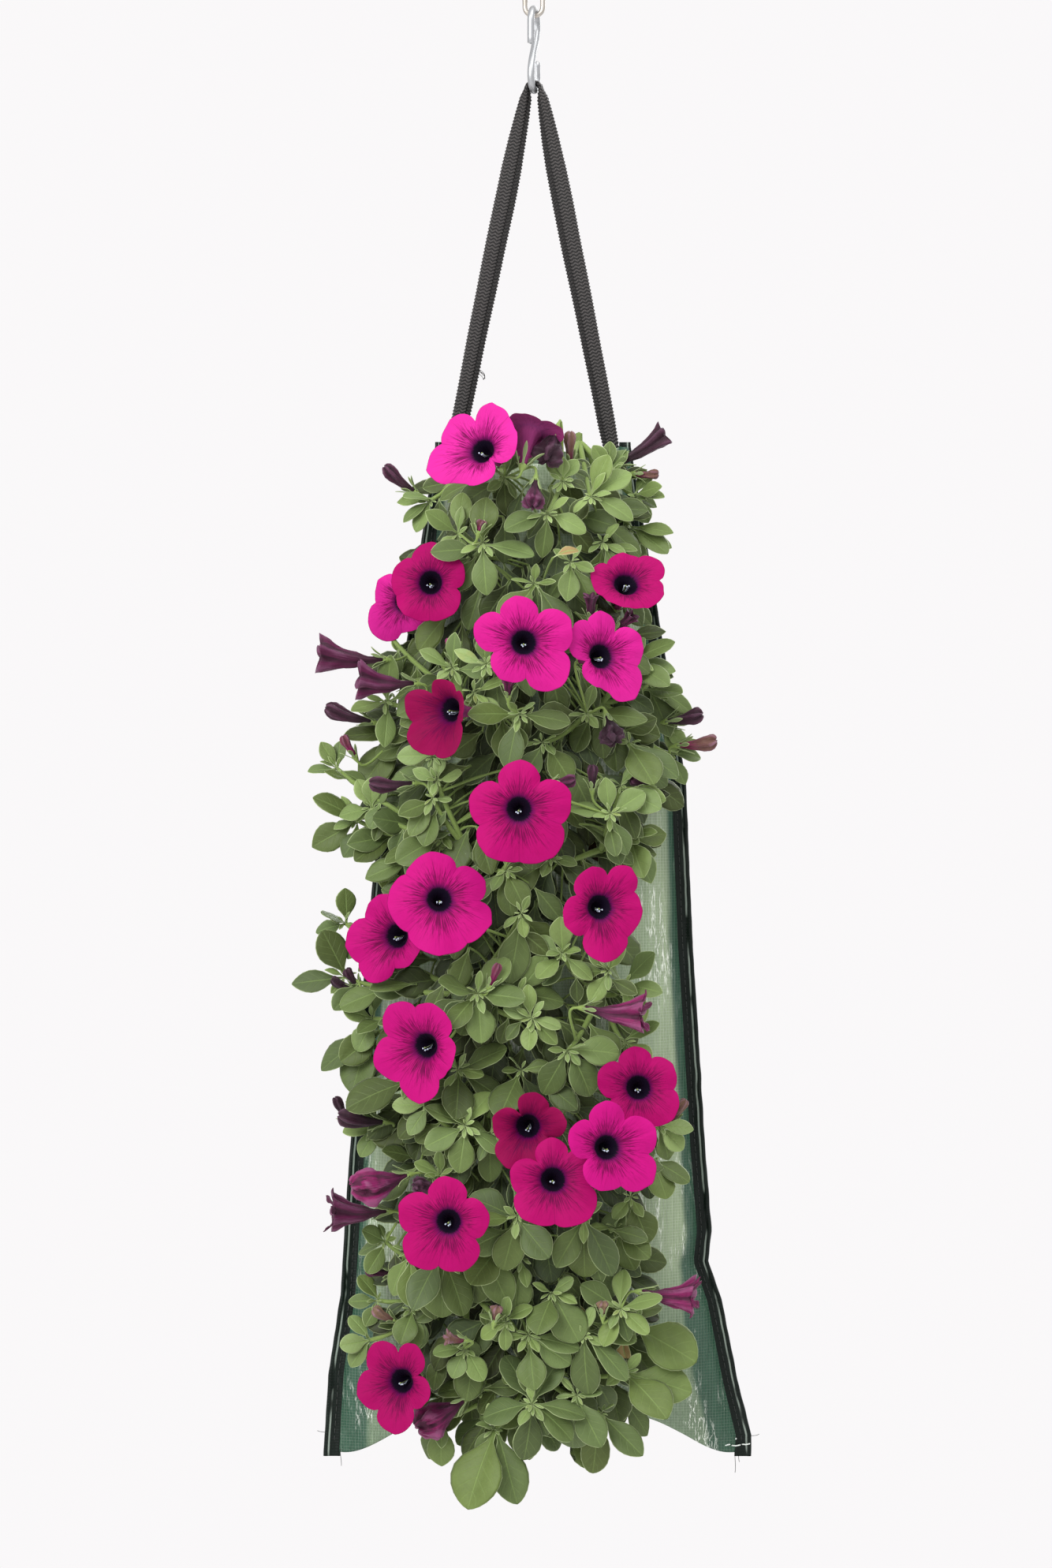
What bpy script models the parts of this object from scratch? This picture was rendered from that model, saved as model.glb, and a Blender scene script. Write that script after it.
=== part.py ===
"""Hanging flower pouch: a sewn woven bag of compost, planted with petunias, on a strap and S-hook.

Frame: metres, +Z up, front of the bag towards -Y. The origin is the hanging point, where the
chain above bears on the inside top of the chain link. Tables are in millimetres: x to the right,
drop downwards from the hanging point, out forwards from the bag's front.
"""

import math
import random

import bmesh
import bpy
import numpy as np
from mathutils import Matrix, Vector
from mathutils.bvhtree import BVHTree

MM = 0.001
JITTER = 0.31 * MM  # how far pieces that grow from one place start apart
GAP = 0.3 * MM  # clearance between pieces that bear on each other

# Places in the tables are read on the strap's plane, from straight in front at this distance.
VIEW_DISTANCE = 3200 * MM
VIEW_CENTRE = Vector((-4.6 * MM, 0.0, -468.5 * MM))

# Hardware
LINK_WIRE = 3.0 * MM
LINK_INNER_LENGTH = 20.15 * MM
LINK_WIDTH = 13.3 * MM
HOOK_WIRE = 4.1 * MM
HOOK_BEND_RADIUS = 8.5 * MM
HOOK_HEIGHT = 51.4 * MM
HOOK_TURN = math.radians(12)  # the hook's plane is nearly edge-on to the front
HOOK_TIP_UPPER = 12.0 * MM
HOOK_TIP_LOWER = 8.7 * MM

# Strap: 25 mm webbing folded lengthwise
STRAP_WIDTH = 12.2 * MM
STRAP_THICKNESS = 3.2 * MM
STRAP_FOLD_THICKNESS = 3.0 * MM
STRAP_BUNCH_WIDTH = 6.4 * MM
STRAP_END_WIDTH, STRAP_END_THICKNESS = 10.0 * MM, 2.4 * MM
STRAP_END_DROP = 298 * MM
STRAP_END_X = (-46.0 * MM, 45.0 * MM)

# Bag
RIM_DROP = 272 * MM
CORNER_DROP = 857 * MM
RIM_SAG_FRONT = 12 * MM
RIM_SAG_BACK = 2 * MM
SEAM_LIFT = 22 * MM  # the bottom seam's middle is drawn up
FLANGE_WIDTH = ((272, 5), (330, 8))
PANEL = 1.0 * MM
LEFT_EDGE = ((272, 57), (520, 93), (609, 101), (700, 108), (765, 112), (811, 119), (857, 122))
RIGHT_EDGE = ((272, 56), (467, 88), (563, 92), (609, 95), (678, 99), (728, 103), (746, 101),
              (769, 109), (815, 118), (847, 126), (857, 126))
FRONT_DEPTH = ((0.0, 27), (0.12, 46), (0.28, 58), (0.5, 62), (0.72, 60), (0.85, 53), (0.93, 40),
               (0.98, 22), (1.0, 0))
BACK_DEPTH = ((0.0, 21), (0.12, 37), (0.28, 48), (0.5, 51), (0.72, 50), (0.85, 44), (0.93, 33),
              (0.98, 18), (1.0, 0))
BULGE_SPREAD, BULGE_ROUNDNESS = 2.4, 0.8
PANEL_COLUMNS = (-1.0, -0.9, -0.72, -0.48, -0.16, 0.16, 0.48, 0.72, 0.9, 1.0)
PANEL_ROWS = (0.0, 0.06, 0.14, 0.25, 0.37, 0.49, 0.61, 0.72, 0.81, 0.88, 0.94, 0.98, 1.0)
COMPOST_TOP_ROW = 1  # the compost's surface lies at this row of the panel
COMPOST_INSET = 0.8 * MM
SEAM_HALF_GAP = 0.16 * MM

# Planting holes in the front: two columns, with one hole near the bottom
HOLE_RADIUS = 7 * MM
HOLE_COLUMNS = (-38, 38)
HOLE_FIRST_DROP, HOLE_PITCH, HOLE_ROWS = 340, 83, 6
BOTTOM_HOLE = (0, 804)
TOP_PLANTS = ((-24, -8), (26, -6))  # x and y of the two plants in the open top
TOP_CROWN_DROP = 266 * MM
TOP_CROWN_FORWARD = 14 * MM

TOP_PLANTS_DROP = 330 * MM  # shoots above this belong to the plants in the open top

STEM_RADIUS = 2.6 * MM
STEM_SIDES = 3
SHOOT_RADIUS = 1.9 * MM
LEAF_THICKNESS = 1.2 * MM
STALK_RADIUS = 1.1 * MM
CALYX_LENGTH = 5 * MM
LEAF_BREADTH = 0.62  # of the leaf's length
LEAF_DROOP = 0.16
LEAF_TILTS = (18, 4, 32, -10, 46, -24)  # degrees off the front plane, the likeliest first
CROWN_OUT = 14 * MM

# Leaf shoots: x, drop, out, leaf reach, and the clock hours that the main leaves point to
SHOOTS = (
    (-59, 301, 30, 22, (8,)),
    (-44, 323, 46, 26, (7, 10)),
    (-30, 329, 48, 29, (3, 6)),
    (-17, 290, 30, 32, (1, 8)),
    (8, 311, 46, 26, (3.5, 6)),
    (21, 290, 36, 20, (11,)),
    (33, 301, 42, 27, (12.5, 2)),
    (58, 301, 30, 20, (1,)),
    (44, 287, 24, 18, (11,)),
    (56, 319, 30, 28, (3, 3.6)),
    (40, 329, 34, 24, (5,)),
    (1, 352, 30, 36, (5, 6)),
    (22, 340, 34, 28, (5, 6)),
    (-83, 383, 30, 20, (9,)),
    (-63, 379, 22, 27, (11, 12)),
    (-47, 402, 44, 22, (3,)),
    (-28, 400, 44, 20, (10,)),
    (-35, 416, 42, 22, (2,)),
    (-85, 421, 40, 27, (6, 9)),
    (-77, 439, 26, 36, (7.5, 9)),
    (56, 398, 28, 28, (2, 3)),
    (66, 411, 26, 34, (3.9, 5)),
    (-9, 428, 46, 33, (3, 6.6)),
    (31, 428, 30, 34, (3, 9)),
    (74, 435, 34, 20, (1,)),
    (79, 451, 34, 20, (2,)),
    (54, 444, 28, 34, (4, 5)),
    (6, 444, 26, 28, (5, 7)),
    (-58, 452, 44, 20, (9,)),
    (-56, 467, 46, 17, (10,)),
    (-58, 478, 44, 24, (7,)),
    (-114, 460, 30, 18, (4,)),
    (-94, 483, 38, 20, (9,)),
    (-102, 490, 30, 32, (8.3, 10)),
    (-81, 499, 30, 33, (6.3, 8)),
    (-54, 499, 28, 32, (7.5, 8.3)),
    (44, 487, 46, 24, (12,)),
    (50, 471, 32, 28, (3.2, 4)),
    (56, 499, 26, 28, (5, 5.6)),
    (11, 512, 24, 36, (4, 7)),
    (-17, 519, 26, 28, (5, 6)),
    (-8, 545, 34, 37, (6,)),
    (-33, 591, 48, 28, (1, 3)),
    (-10, 591, 34, 26, (1.5, 3)),
    (-2, 605, 44, 20, (3,)),
    (-109, 550, 26, 20, (9,)),
    (-109, 581, 30, 31, (8.7, 11)),
    (-93, 605, 40, 21, (7,)),
    (-95, 613, 30, 35, (6.5, 8)),
    (-72, 641, 34, 38, (8.3,)),
    (52, 586, 36, 25, (1, 3)),
    (43, 578, 40, 20, (1,)),
    (17, 568, 34, 22, (4,)),
    (20, 623, 38, 30, (3, 5)),
    (52, 618, 28, 24, (2,)),
    (-44, 636, 32, 32, (2, 4)),
    (-8, 636, 24, 36, (5, 7)),
    (-40, 668, 42, 25, (1, 4)),
    (-61, 655, 34, 22, (7,)),
    (-90, 668, 26, 22, (7,)),
    (-26, 673, 30, 26, (1, 4)),
    (72, 668, 28, 20, (3,)),
    (68, 687, 24, 28, (4, 5)),
    (56, 710, 26, 28, (5, 6)),
    (-54, 696, 36, 18, (10,)),
    (-10, 721, 44, 31, (1, 4.5)),
    (29, 721, 42, 34, (5, 6)),
    (47, 728, 26, 28, (4, 5)),
    (-86, 735, 28, 20, (7,)),
    (-72, 742, 36, 30, (6, 7)),
    (-54, 742, 38, 38, (5, 6)),
    (-31, 737, 34, 38, (5, 6.4)),
    (-8, 746, 30, 28, (6,)),
    (11, 765, 34, 30, (5, 7)),
    (-90, 769, 26, 18, (7,)),
    (-70, 774, 28, 24, (6,)),
    (-95, 792, 28, 20, (7.5,)),
    (-17, 781, 44, 17, (2,)),
    (-3, 790, 40, 28, (3, 4.3)),
    (29, 788, 42, 34, (4.5, 6.1)),
    (50, 774, 44, 25, (2, 4)),
    (56, 783, 28, 42, (4,)),
    (-40, 797, 40, 20, (5,)),
    (-1, 829, 50, 32, (1, 3)),
    (-22, 843, 36, 46, (5.6, 6.8)),
    (-54, 838, 26, 28, (6, 7)),
    (24, 824, 44, 36, (5, 6)),
    (52, 811, 40, 42, (3.5, 4.2)),
    (38, 834, 34, 38, (4.5, 6)),
    (-31, 820, 32, 26, (3, 9)),
)

# Open flowers: x, drop and out of the throat, width, and the way it faces (yaw, pitch in degrees)
FLOWERS = (
    (-31, 274, 78, 54, -24, 14),
    (-2, 262, 46, 44, 165, 52),
    (-61, 351, 74, 46, -14, 4),
    (-76, 362, 42, 40, -24, 0),
    (54, 351, 62, 46, 12, 30),
    (-6, 386, 82, 54, 0, 2),
    (40, 394, 76, 46, 26, 4),
    (-50, 425, 76, 42, -38, 4),
    (-9, 483, 82, 57, -3, 0),
    (-55, 535, 86, 55, 4, 12),
    (-81, 557, 62, 52, -26, 0),
    (39, 540, 76, 50, 16, 2),
    (-64, 621, 76, 52, -24, -4),
    (61, 645, 66, 47, 4, 4),
    (-4, 668, 52, 45, -8, -6),
    (43, 680, 90, 52, 14, 2),
    (11, 698, 76, 51, 0, 12),
    (-50, 723, 80, 54, -6, 2),
    (-78, 816, 64, 48, -22, 0),
)
TUBE_LENGTH = 27 * MM

# Furled and fading flowers: base x, drop, tip x, drop, out, mouth radius
FURLED = (
    (49, 282, 76, 265, 26, 5.5),
    (-70, 298, -87, 284, 30, 3.5),
    (-88, 396, -125, 393, 48, 8.5),
    (-70, 410, -102, 407, 64, 8),
    (-95, 432, -121, 424, 40, 4),
    (-71, 468, -95, 468, 54, 4),
    (78, 432, 98, 428, 42, 4),
    (85, 446, 106, 443, 40, 4),
    (30, 599, 63, 601, 56, 8.5),
    (-88, 665, -113, 660, 40, 4.5),
    (-74, 696, -105, 700, 52, 8),
    (-86, 717, -116, 715, 46, 8),
    (63, 764, 92, 764, 44, 8),
    (-41, 827, -68, 842, 40, 8),
)

COLOURS = {
    "steel": ((0.62, 0.63, 0.64), 0.3, 1.0),
    "webbing": ((0.02, 0.02, 0.02), 0.8, 0.0),
    "bag": ((0.05, 0.16, 0.10), 0.35, 0.0),
    "compost": ((0.05, 0.03, 0.02), 1.0, 0.0),
    "leaf": ((0.16, 0.27, 0.08), 0.6, 0.0),
    "petal": ((0.70, 0.01, 0.28), 0.55, 0.0),
    "faded_petal": ((0.12, 0.02, 0.08), 0.7, 0.0),
}


# ---- scene and small helpers ----------------------------------------------------------------


def clear_scene():
    """Remove every object of the opened scene."""
    for item in list(bpy.data.objects):
        bpy.data.objects.remove(item, do_unlink=True)


def material(name):
    """Return the named finish as a Principled material, made once."""
    found = bpy.data.materials.get(name)
    if found:
        return found
    colour, roughness, metallic = COLOURS[name]
    made = bpy.data.materials.new(name)
    made.use_nodes = True
    shader = made.node_tree.nodes["Principled BSDF"]
    shader.inputs["Base Color"].default_value = (*colour, 1.0)
    shader.inputs["Roughness"].default_value = roughness
    shader.inputs["Metallic"].default_value = metallic
    return made


def add_object(name, bm, finish, smooth=True):
    """Turn a bmesh into a scene object with a finish."""
    bmesh.ops.recalc_face_normals(bm, faces=bm.faces)
    mesh = bpy.data.meshes.new(name)
    bm.to_mesh(mesh)
    bm.free()
    if smooth:
        mesh.shade_smooth()
        mesh.set_sharp_from_angle(angle=math.radians(40))
    mesh.materials.append(material(finish))
    made = bpy.data.objects.new(name, mesh)
    bpy.context.scene.collection.objects.link(made)
    return made


def as_guide(item):
    """Mark an object as a cutter or Boolean operand, not a piece."""
    item.hide_render = True
    item.display_type = "WIRE"
    return item


def table_at(table, value):
    """Read a (place, size) table at a value, both sides in the table's own units."""
    return float(np.interp(value, [row[0] for row in table], [row[1] for row in table]))


def bezier(points, steps):
    """Sample a cubic Bezier curve given by four points."""
    a, b, c, d = points
    out = []
    for i in range(steps + 1):
        t = i / steps
        u = 1 - t
        out.append(a * u**3 + b * (3 * u * u * t) + c * (3 * u * t * t) + d * t**3)
    return out


def add_rings(bm, rings, closed=True):
    """Loft rings of points into a closed solid; a ring of one point is a tip."""
    rows = [[bm.verts.new(point) for point in ring] for ring in rings]
    for low, high in zip(rows, rows[1:]):
        sides = max(len(low), len(high))
        for i in range(sides):
            j = (i + 1) % sides
            if len(high) == 1:
                bm.faces.new((low[i], low[j], high[0]))
            elif len(low) == 1:
                bm.faces.new((low[0], high[j], high[i]))
            else:
                bm.faces.new((low[i], low[j], high[j], high[i]))
    if closed and len(rows[0]) > 2:
        bm.faces.new(list(reversed(rows[0])))
    if closed and len(rows[-1]) > 2:
        bm.faces.new(rows[-1])


def tube_rings(points, radii, sides):
    """Rings along a path, turned as little as possible from one point to the next."""
    side = None
    rings = []
    for i, point in enumerate(points):
        ahead = points[min(i + 1, len(points) - 1)] - points[max(i - 1, 0)]
        ahead.normalize()
        if side is None:
            side = ahead.orthogonal().normalized()
        side = (side - ahead * side.dot(ahead)).normalized()
        other = ahead.cross(side)
        turns = (2 * math.pi * k / sides for k in range(sides))
        rings.append([point + (side * math.cos(a) + other * math.sin(a)) * radii[i] for a in turns])
    return rings


def unite(body, pieces):
    """Join closed lofted pieces to a body, one after another, and keep the outer shell."""
    tools = []
    for rings in pieces:
        bm = bmesh.new()
        add_rings(bm, rings)
        tool = add_object(body.name + "_piece", bm, "leaf", smooth=False)
        join = body.modifiers.new("join", "BOOLEAN")
        join.operation = "UNION"
        join.solver = "MANIFOLD"  # many thin pieces meet at one place, where EXACT leaves cracks
        join.object = tool
        tools.append(tool)
    bpy.context.view_layer.update()
    evaluated = body.evaluated_get(bpy.context.evaluated_depsgraph_get())
    mesh = bpy.data.meshes.new_from_object(evaluated)
    body.modifiers.clear()
    body.data = mesh
    for tool in tools:
        bpy.data.objects.remove(tool, do_unlink=True)
    keep_largest_shell(mesh)


def keep_largest_shell(mesh):
    """Remove the small closed pockets that joined pieces can leave between them."""
    bm = bmesh.new()
    bm.from_mesh(mesh)
    shells, seen = [], set()
    for start in bm.verts:
        if start in seen:
            continue
        shell, waiting = {start}, [start]
        while waiting:
            for link in waiting.pop().link_edges:
                for vertex in link.verts:
                    if vertex not in shell:
                        shell.add(vertex)
                        waiting.append(vertex)
        seen |= shell
        shells.append(shell)
    largest = max(shells, key=len)
    bmesh.ops.delete(bm, geom=[v for v in bm.verts if v not in largest], context="VERTS")
    bm.to_mesh(mesh)
    bm.free()


# ---- bag shape ------------------------------------------------------------------------------


def flange(drop):
    """Width of the flat seam flange at a height."""
    return table_at(FLANGE_WIDTH, drop / MM) * MM


def edge_x(t, drop):
    """X of the seam line's place t, from -1 at the left seam to 1 at the right seam."""
    left = -table_at(LEFT_EDGE, drop / MM) * MM + flange(drop)
    right = table_at(RIGHT_EDGE, drop / MM) * MM - flange(drop)
    return left + (right - left) * (t + 1) / 2


def seam_drop(t):
    """Drop of the bottom seam, across at t: level at the corners and in the middle."""
    part = min(max((abs(t) - 0.5) / 0.47, 0.0), 1.0)
    return CORNER_DROP - SEAM_LIFT * (1 - part * part * (3 - 2 * part))


def panel_point(t, s, front):
    """A point of the panel's inner surface, across at t and down at s."""
    sag = RIM_SAG_FRONT if front else RIM_SAG_BACK
    top = RIM_DROP + sag * (1 - t * t)
    bottom = seam_drop(t)
    drop = top + (bottom - top) * s
    depth = table_at(FRONT_DEPTH if front else BACK_DEPTH, s) * MM
    y = depth * bulge(t) + SEAM_HALF_GAP
    return Vector((edge_x(t, drop), -y if front else y, -drop))


def bulge(t):
    """How far a panel stands out across its width, from 0 at the seams to 1 in the middle."""
    return (1 - abs(t) ** BULGE_SPREAD) ** BULGE_ROUNDNESS


def panel_y(x, drop, front):
    """Y of a panel's inner face, or of the seam beside the bag; x and drop in metres."""
    left, right = edge_x(-1, drop), edge_x(1, drop)
    t = min(max(2 * (x - left) / (right - left) - 1, -1.0), 1.0)
    s = min(max((drop - RIM_DROP) / (seam_drop(t) - RIM_DROP), 0.0), 0.97)
    table = FRONT_DEPTH if front else BACK_DEPTH
    depth = np.interp(s, PANEL_ROWS, [table_at(table, row) for row in PANEL_ROWS]) * MM
    out = np.interp(t, PANEL_COLUMNS, [bulge(column) for column in PANEL_COLUMNS])
    y = float(depth * out) + SEAM_HALF_GAP
    return -y if front else y


def seen_at(x_mm, drop_mm, out_mm):
    """Turn a table place, as seen from the front, into a point of the model."""
    seen = Vector((x_mm * MM, 0.0, -drop_mm * MM))
    y = panel_y(seen.x, -seen.z, front=True) - out_mm * MM
    nearer = (VIEW_DISTANCE + y) / VIEW_DISTANCE
    return Vector((VIEW_CENTRE.x + (seen.x - VIEW_CENTRE.x) * nearer, y,
                   VIEW_CENTRE.z + (seen.z - VIEW_CENTRE.z) * nearer))


def panel_grid(front):
    """The panel's inner surface with flat flanges, as rows of points."""
    rows = []
    for s in PANEL_ROWS:
        row = [panel_point(t, s, front) for t in PANEL_COLUMNS]
        row.insert(0, row[0] - Vector((flange(-row[0].z), 0, 0)))
        row.append(row[-1] + Vector((flange(-row[-1].z), 0, 0)))
        rows.append(row)
    return rows


def make_panel(name, front):
    """One woven panel, a thin solid with its flanges."""
    bm = bmesh.new()
    rows = [[bm.verts.new(point) for point in row] for row in panel_grid(front)]
    for upper, lower in zip(rows, rows[1:]):
        for i in range(len(upper) - 1):
            bm.faces.new((upper[i], lower[i], lower[i + 1]))
            bm.faces.new((upper[i], lower[i + 1], upper[i + 1]))
    bmesh.ops.recalc_face_normals(bm, faces=bm.faces)
    outward = sum(face.normal.y for face in bm.faces) < 0
    if outward != front:
        bmesh.ops.reverse_faces(bm, faces=bm.faces)
    mesh = bpy.data.meshes.new(name)
    bm.to_mesh(mesh)
    bm.free()
    mesh.materials.append(material("bag"))
    panel = bpy.data.objects.new(name, mesh)
    bpy.context.scene.collection.objects.link(panel)
    thick = panel.modifiers.new("thickness", "SOLIDIFY")
    thick.thickness = PANEL
    thick.offset = 1.0
    return panel


def make_compost():
    """The planting mix, which fills the bag up to just under the rim."""
    bm = bmesh.new()
    inner = PANEL_COLUMNS[1:-1]
    rings = []
    for s in PANEL_ROWS[COMPOST_TOP_ROW:-1]:
        front = [panel_point(t, s, True) + Vector((0, COMPOST_INSET, 0)) for t in inner]
        back = [panel_point(t, s, False) - Vector((0, COMPOST_INSET, 0)) for t in reversed(inner)]
        rings.append(front + back)
    level = min(point.z for point in rings[0])
    rings[0] = [Vector((p.x, p.y, level)) for p in rings[0]]
    add_rings(bm, rings)
    bmesh.ops.triangulate(bm, faces=bm.faces)
    return add_object("compost", bm, "compost", smooth=False)


def cut_holes(panel, places):
    """Cut the planting holes through the front panel."""
    bm = bmesh.new()
    for x, drop in places:
        y = panel_y(x * MM, drop * MM, front=True)
        turn = Matrix.Translation((x * MM, y, -drop * MM)) @ Matrix.Rotation(math.pi / 2, 4, "X")
        bmesh.ops.create_cone(bm, cap_ends=True, segments=8, radius1=HOLE_RADIUS,
                              radius2=HOLE_RADIUS, depth=24 * MM, matrix=turn)
    cutter = as_guide(add_object("planting_hole_cutter", bm, "bag"))
    cut = panel.modifiers.new("planting_holes", "BOOLEAN")
    cut.operation = "DIFFERENCE"
    cut.solver = "EXACT"
    cut.object = cutter


# ---- hardware -------------------------------------------------------------------------------


def make_wire(name, points, wire, closed):
    """A bent round wire, as a curve with a bevel and filled ends."""
    curve = bpy.data.curves.new(name, "CURVE")
    curve.dimensions = "3D"
    curve.bevel_depth = wire / 2
    curve.bevel_resolution = 2
    curve.use_fill_caps = not closed
    spline = curve.splines.new("POLY")
    spline.points.add(len(points) - 1)
    for slot, point in zip(spline.points, points):
        slot.co = (*point, 1.0)
    spline.use_cyclic_u = closed
    curve.materials.append(material("steel"))
    made = bpy.data.objects.new(name, curve)
    bpy.context.scene.collection.objects.link(made)
    return made


def link_points():
    """The chain link's centre line, an upright loop facing the front."""
    radius = (LINK_WIDTH - LINK_WIRE) / 2
    top = LINK_WIRE / 2 - radius
    bottom = -LINK_INNER_LENGTH - LINK_WIRE / 2 + radius
    points = []
    for centre, start in ((top, 0.0), (bottom, math.pi)):
        for i in range(9):
            angle = start + math.pi * i / 8
            points.append(Vector((radius * math.cos(angle), 0, centre + radius * math.sin(angle))))
    return points


def hook_points():
    """The S-hook's centre line: upper bend, slanting shank, lower bend."""
    top = -LINK_INNER_LENGTH + GAP + HOOK_WIRE / 2
    r = HOOK_BEND_RADIUS
    upper = top - r
    lower = top - (HOOK_HEIGHT - HOOK_WIRE) + r
    flat = [(-r, upper - HOOK_TIP_UPPER), (-r, upper - HOOK_TIP_UPPER / 2)]
    flat += [(-r * math.cos(a), upper + r * math.sin(a)) for a in np.linspace(0, math.pi, 11)]
    shank = bezier([Vector((r, 0, upper)), Vector((r, 0, upper - 11 * MM)),
                    Vector((-r, 0, lower + 11 * MM)), Vector((-r, 0, lower))], 8)
    flat += [(p.x, p.z) for p in shank[1:-1]]
    flat += [(-r * math.cos(a), lower - r * math.sin(a)) for a in np.linspace(0, math.pi, 11)]
    flat += [(r, lower + HOOK_TIP_LOWER / 2), (r, lower + HOOK_TIP_LOWER)]
    across = Vector((math.sin(HOOK_TURN), math.cos(HOOK_TURN), 0))
    return [across * p + Vector((0, 0, z)) for p, z in flat]


def strap_stations():
    """The strap's centre line from end to end, with its width, thickness and turn at each place."""
    rise = HOOK_BEND_RADIUS - math.sqrt(HOOK_BEND_RADIUS**2 - (STRAP_BUNCH_WIDTH / 2) ** 2)
    bend_z = -LINK_INNER_LENGTH + GAP + HOOK_WIRE - HOOK_HEIGHT + HOOK_WIRE / 2 + rise
    ride = HOOK_WIRE / 2 + GAP + STRAP_FOLD_THICKNESS / 2
    square = Vector((math.cos(HOOK_TURN), -math.sin(HOOK_TURN), 0))  # square to the hook's wire
    legs = []
    for sign, end_x in zip((-1, 1), STRAP_END_X):
        wall = panel_y(end_x + sign * STRAP_END_WIDTH / 2, RIM_DROP, front=False)
        end = Vector((end_x, wall - GAP - STRAP_END_THICKNESS / 2, -STRAP_END_DROP))
        rim = Vector((end_x, end.y, -RIM_DROP))
        shoulder = square * sign * ride + Vector((0, 0, bend_z))
        leg = [(end, STRAP_END_WIDTH, STRAP_END_THICKNESS, 0.0),
               (rim, STRAP_END_WIDTH, STRAP_END_THICKNESS, 0.0)]
        for f in (0.12, 0.3, 0.5, 0.7, 0.84):
            leg.append((rim.lerp(shoulder, f), STRAP_WIDTH, STRAP_THICKNESS, 0.0))
        leg.append((rim.lerp(shoulder, 0.95), (STRAP_WIDTH + STRAP_FOLD_THICKNESS) / 2,
                    (STRAP_THICKNESS + STRAP_BUNCH_WIDTH) / 2, HOOK_TURN / 2))
        leg.append((shoulder, STRAP_FOLD_THICKNESS, STRAP_BUNCH_WIDTH, HOOK_TURN))
        legs.append(leg)
    over = []
    for angle in np.linspace(math.pi, 0, 7)[1:-1]:
        place = square * ride * math.cos(angle)
        place.z = bend_z + ride * math.sin(angle)
        over.append((place, STRAP_FOLD_THICKNESS, STRAP_BUNCH_WIDTH, HOOK_TURN))
    return legs[0] + over + legs[1][::-1]


def make_strap():
    """The folded webbing strap, over the hook and down inside the bag's top corners."""
    stations = strap_stations()
    path = [station[0] for station in stations]
    rings = []
    for i, (place, width, thickness, turn) in enumerate(stations):
        front = Vector((-math.sin(turn), -math.cos(turn), 0))
        ahead = (path[min(i + 1, len(path) - 1)] - path[max(i - 1, 0)]).normalized()
        across = ahead.cross(front).normalized() * width / 2
        through = front * thickness / 2
        rings.append([place + across * 0.7 + through, place - across * 0.7 + through,
                      place - across, place - across * 0.7 - through,
                      place + across * 0.7 - through, place + across])
    bm = bmesh.new()
    add_rings(bm, rings)
    return add_object("hanging_strap", bm, "webbing")


# ---- flowers --------------------------------------------------------------------------------


def facing(yaw, pitch):
    """Unit vector that a flower looks along; yaw 0 faces the front, positive to the right."""
    yaw, pitch = math.radians(yaw), math.radians(pitch)
    return Vector((math.sin(yaw) * math.cos(pitch), -math.cos(yaw) * math.cos(pitch),
                   math.sin(pitch)))


def axes_of(forward):
    """Two unit vectors square to a direction, the second as upright as it can be."""
    right = Vector((0, 0, 1)).cross(-forward)
    if right.length < 1e-4:
        right = Vector((1, 0, 0))
    right.normalize()
    return right, right.cross(-forward).normalized() * -1


def make_flower(name, row):
    """A trumpet flower with five lobes, hollow down its throat."""
    x, drop, out, width, yaw, pitch = row
    centre = seen_at(x, drop, out)
    forward = facing(yaw, pitch)
    right, up = axes_of(forward)
    radius = width * MM / 2

    def ring(size, along, lobes=0.0):
        points = []
        for k in range(10):
            angle = math.pi / 2 + math.pi * k / 5
            reach = size * (1 - lobes * (k % 2))
            points.append(centre + forward * along
                          + (right * math.cos(angle) + up * math.sin(angle)) * reach)
        return points

    bm = bmesh.new()
    add_rings(bm, [
        ring(1.9 * MM, -TUBE_LENGTH),
        ring(6.2 * MM, -4.0 * MM),
        ring(radius, 2.6 * MM, 0.16),
        ring(5.4 * MM, -0.5 * MM),
        ring(1.4 * MM, -TUBE_LENGTH * 0.5),
    ])
    made = add_object(name, bm, "petal")
    return made, centre - forward * TUBE_LENGTH, forward


def make_furled(name, row):
    """A furled flower: a slim trumpet that closes at its mouth."""
    x0, drop0, x1, drop1, out, mouth = row
    base = seen_at(x0, drop0, out)
    tip = seen_at(x1, drop1, out)
    tip.y = base.y - 4 * MM
    forward = (tip - base).normalized()
    radii = (1.6 * MM, 2.6 * MM, mouth * 0.7 * MM, mouth * MM, mouth * 0.45 * MM)
    places = (0.0, 0.35, 0.7, 0.9, 1.0)
    points = [base.lerp(tip, f) for f in places]
    bm = bmesh.new()
    add_rings(bm, tube_rings(points, radii, 6))
    made = add_object(name, bm, "faded_petal")
    return made, base, forward


# ---- plants ---------------------------------------------------------------------------------


def leaf_rings(base, direction, normal, length, width, swell=0.0):
    """Rings of one leaf blade: stalk, shoulder, widest place and tip."""
    side = direction.cross(normal).normalized()
    normal = side.cross(direction).normalized()
    rings = []
    for place, breadth in ((0.0, 0.16), (0.35, 0.62), (0.74, 1.0)):
        middle = base + direction * length * place - normal * length * LEAF_DROOP * place**2
        half = side * (width / 2 * breadth + swell)
        lift = normal * (LEAF_THICKNESS + swell)
        rings.append([middle + half, middle + lift, middle - half])
    rings.append([base + direction * (length + swell) - normal * length * LEAF_DROOP])
    return rings


def rings_tree(rings):
    """A search tree of a lofted solid, for finding clashes."""
    bm = bmesh.new()
    add_rings(bm, rings)
    tree = BVHTree.FromBMesh(bm)
    bm.free()
    return tree


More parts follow.
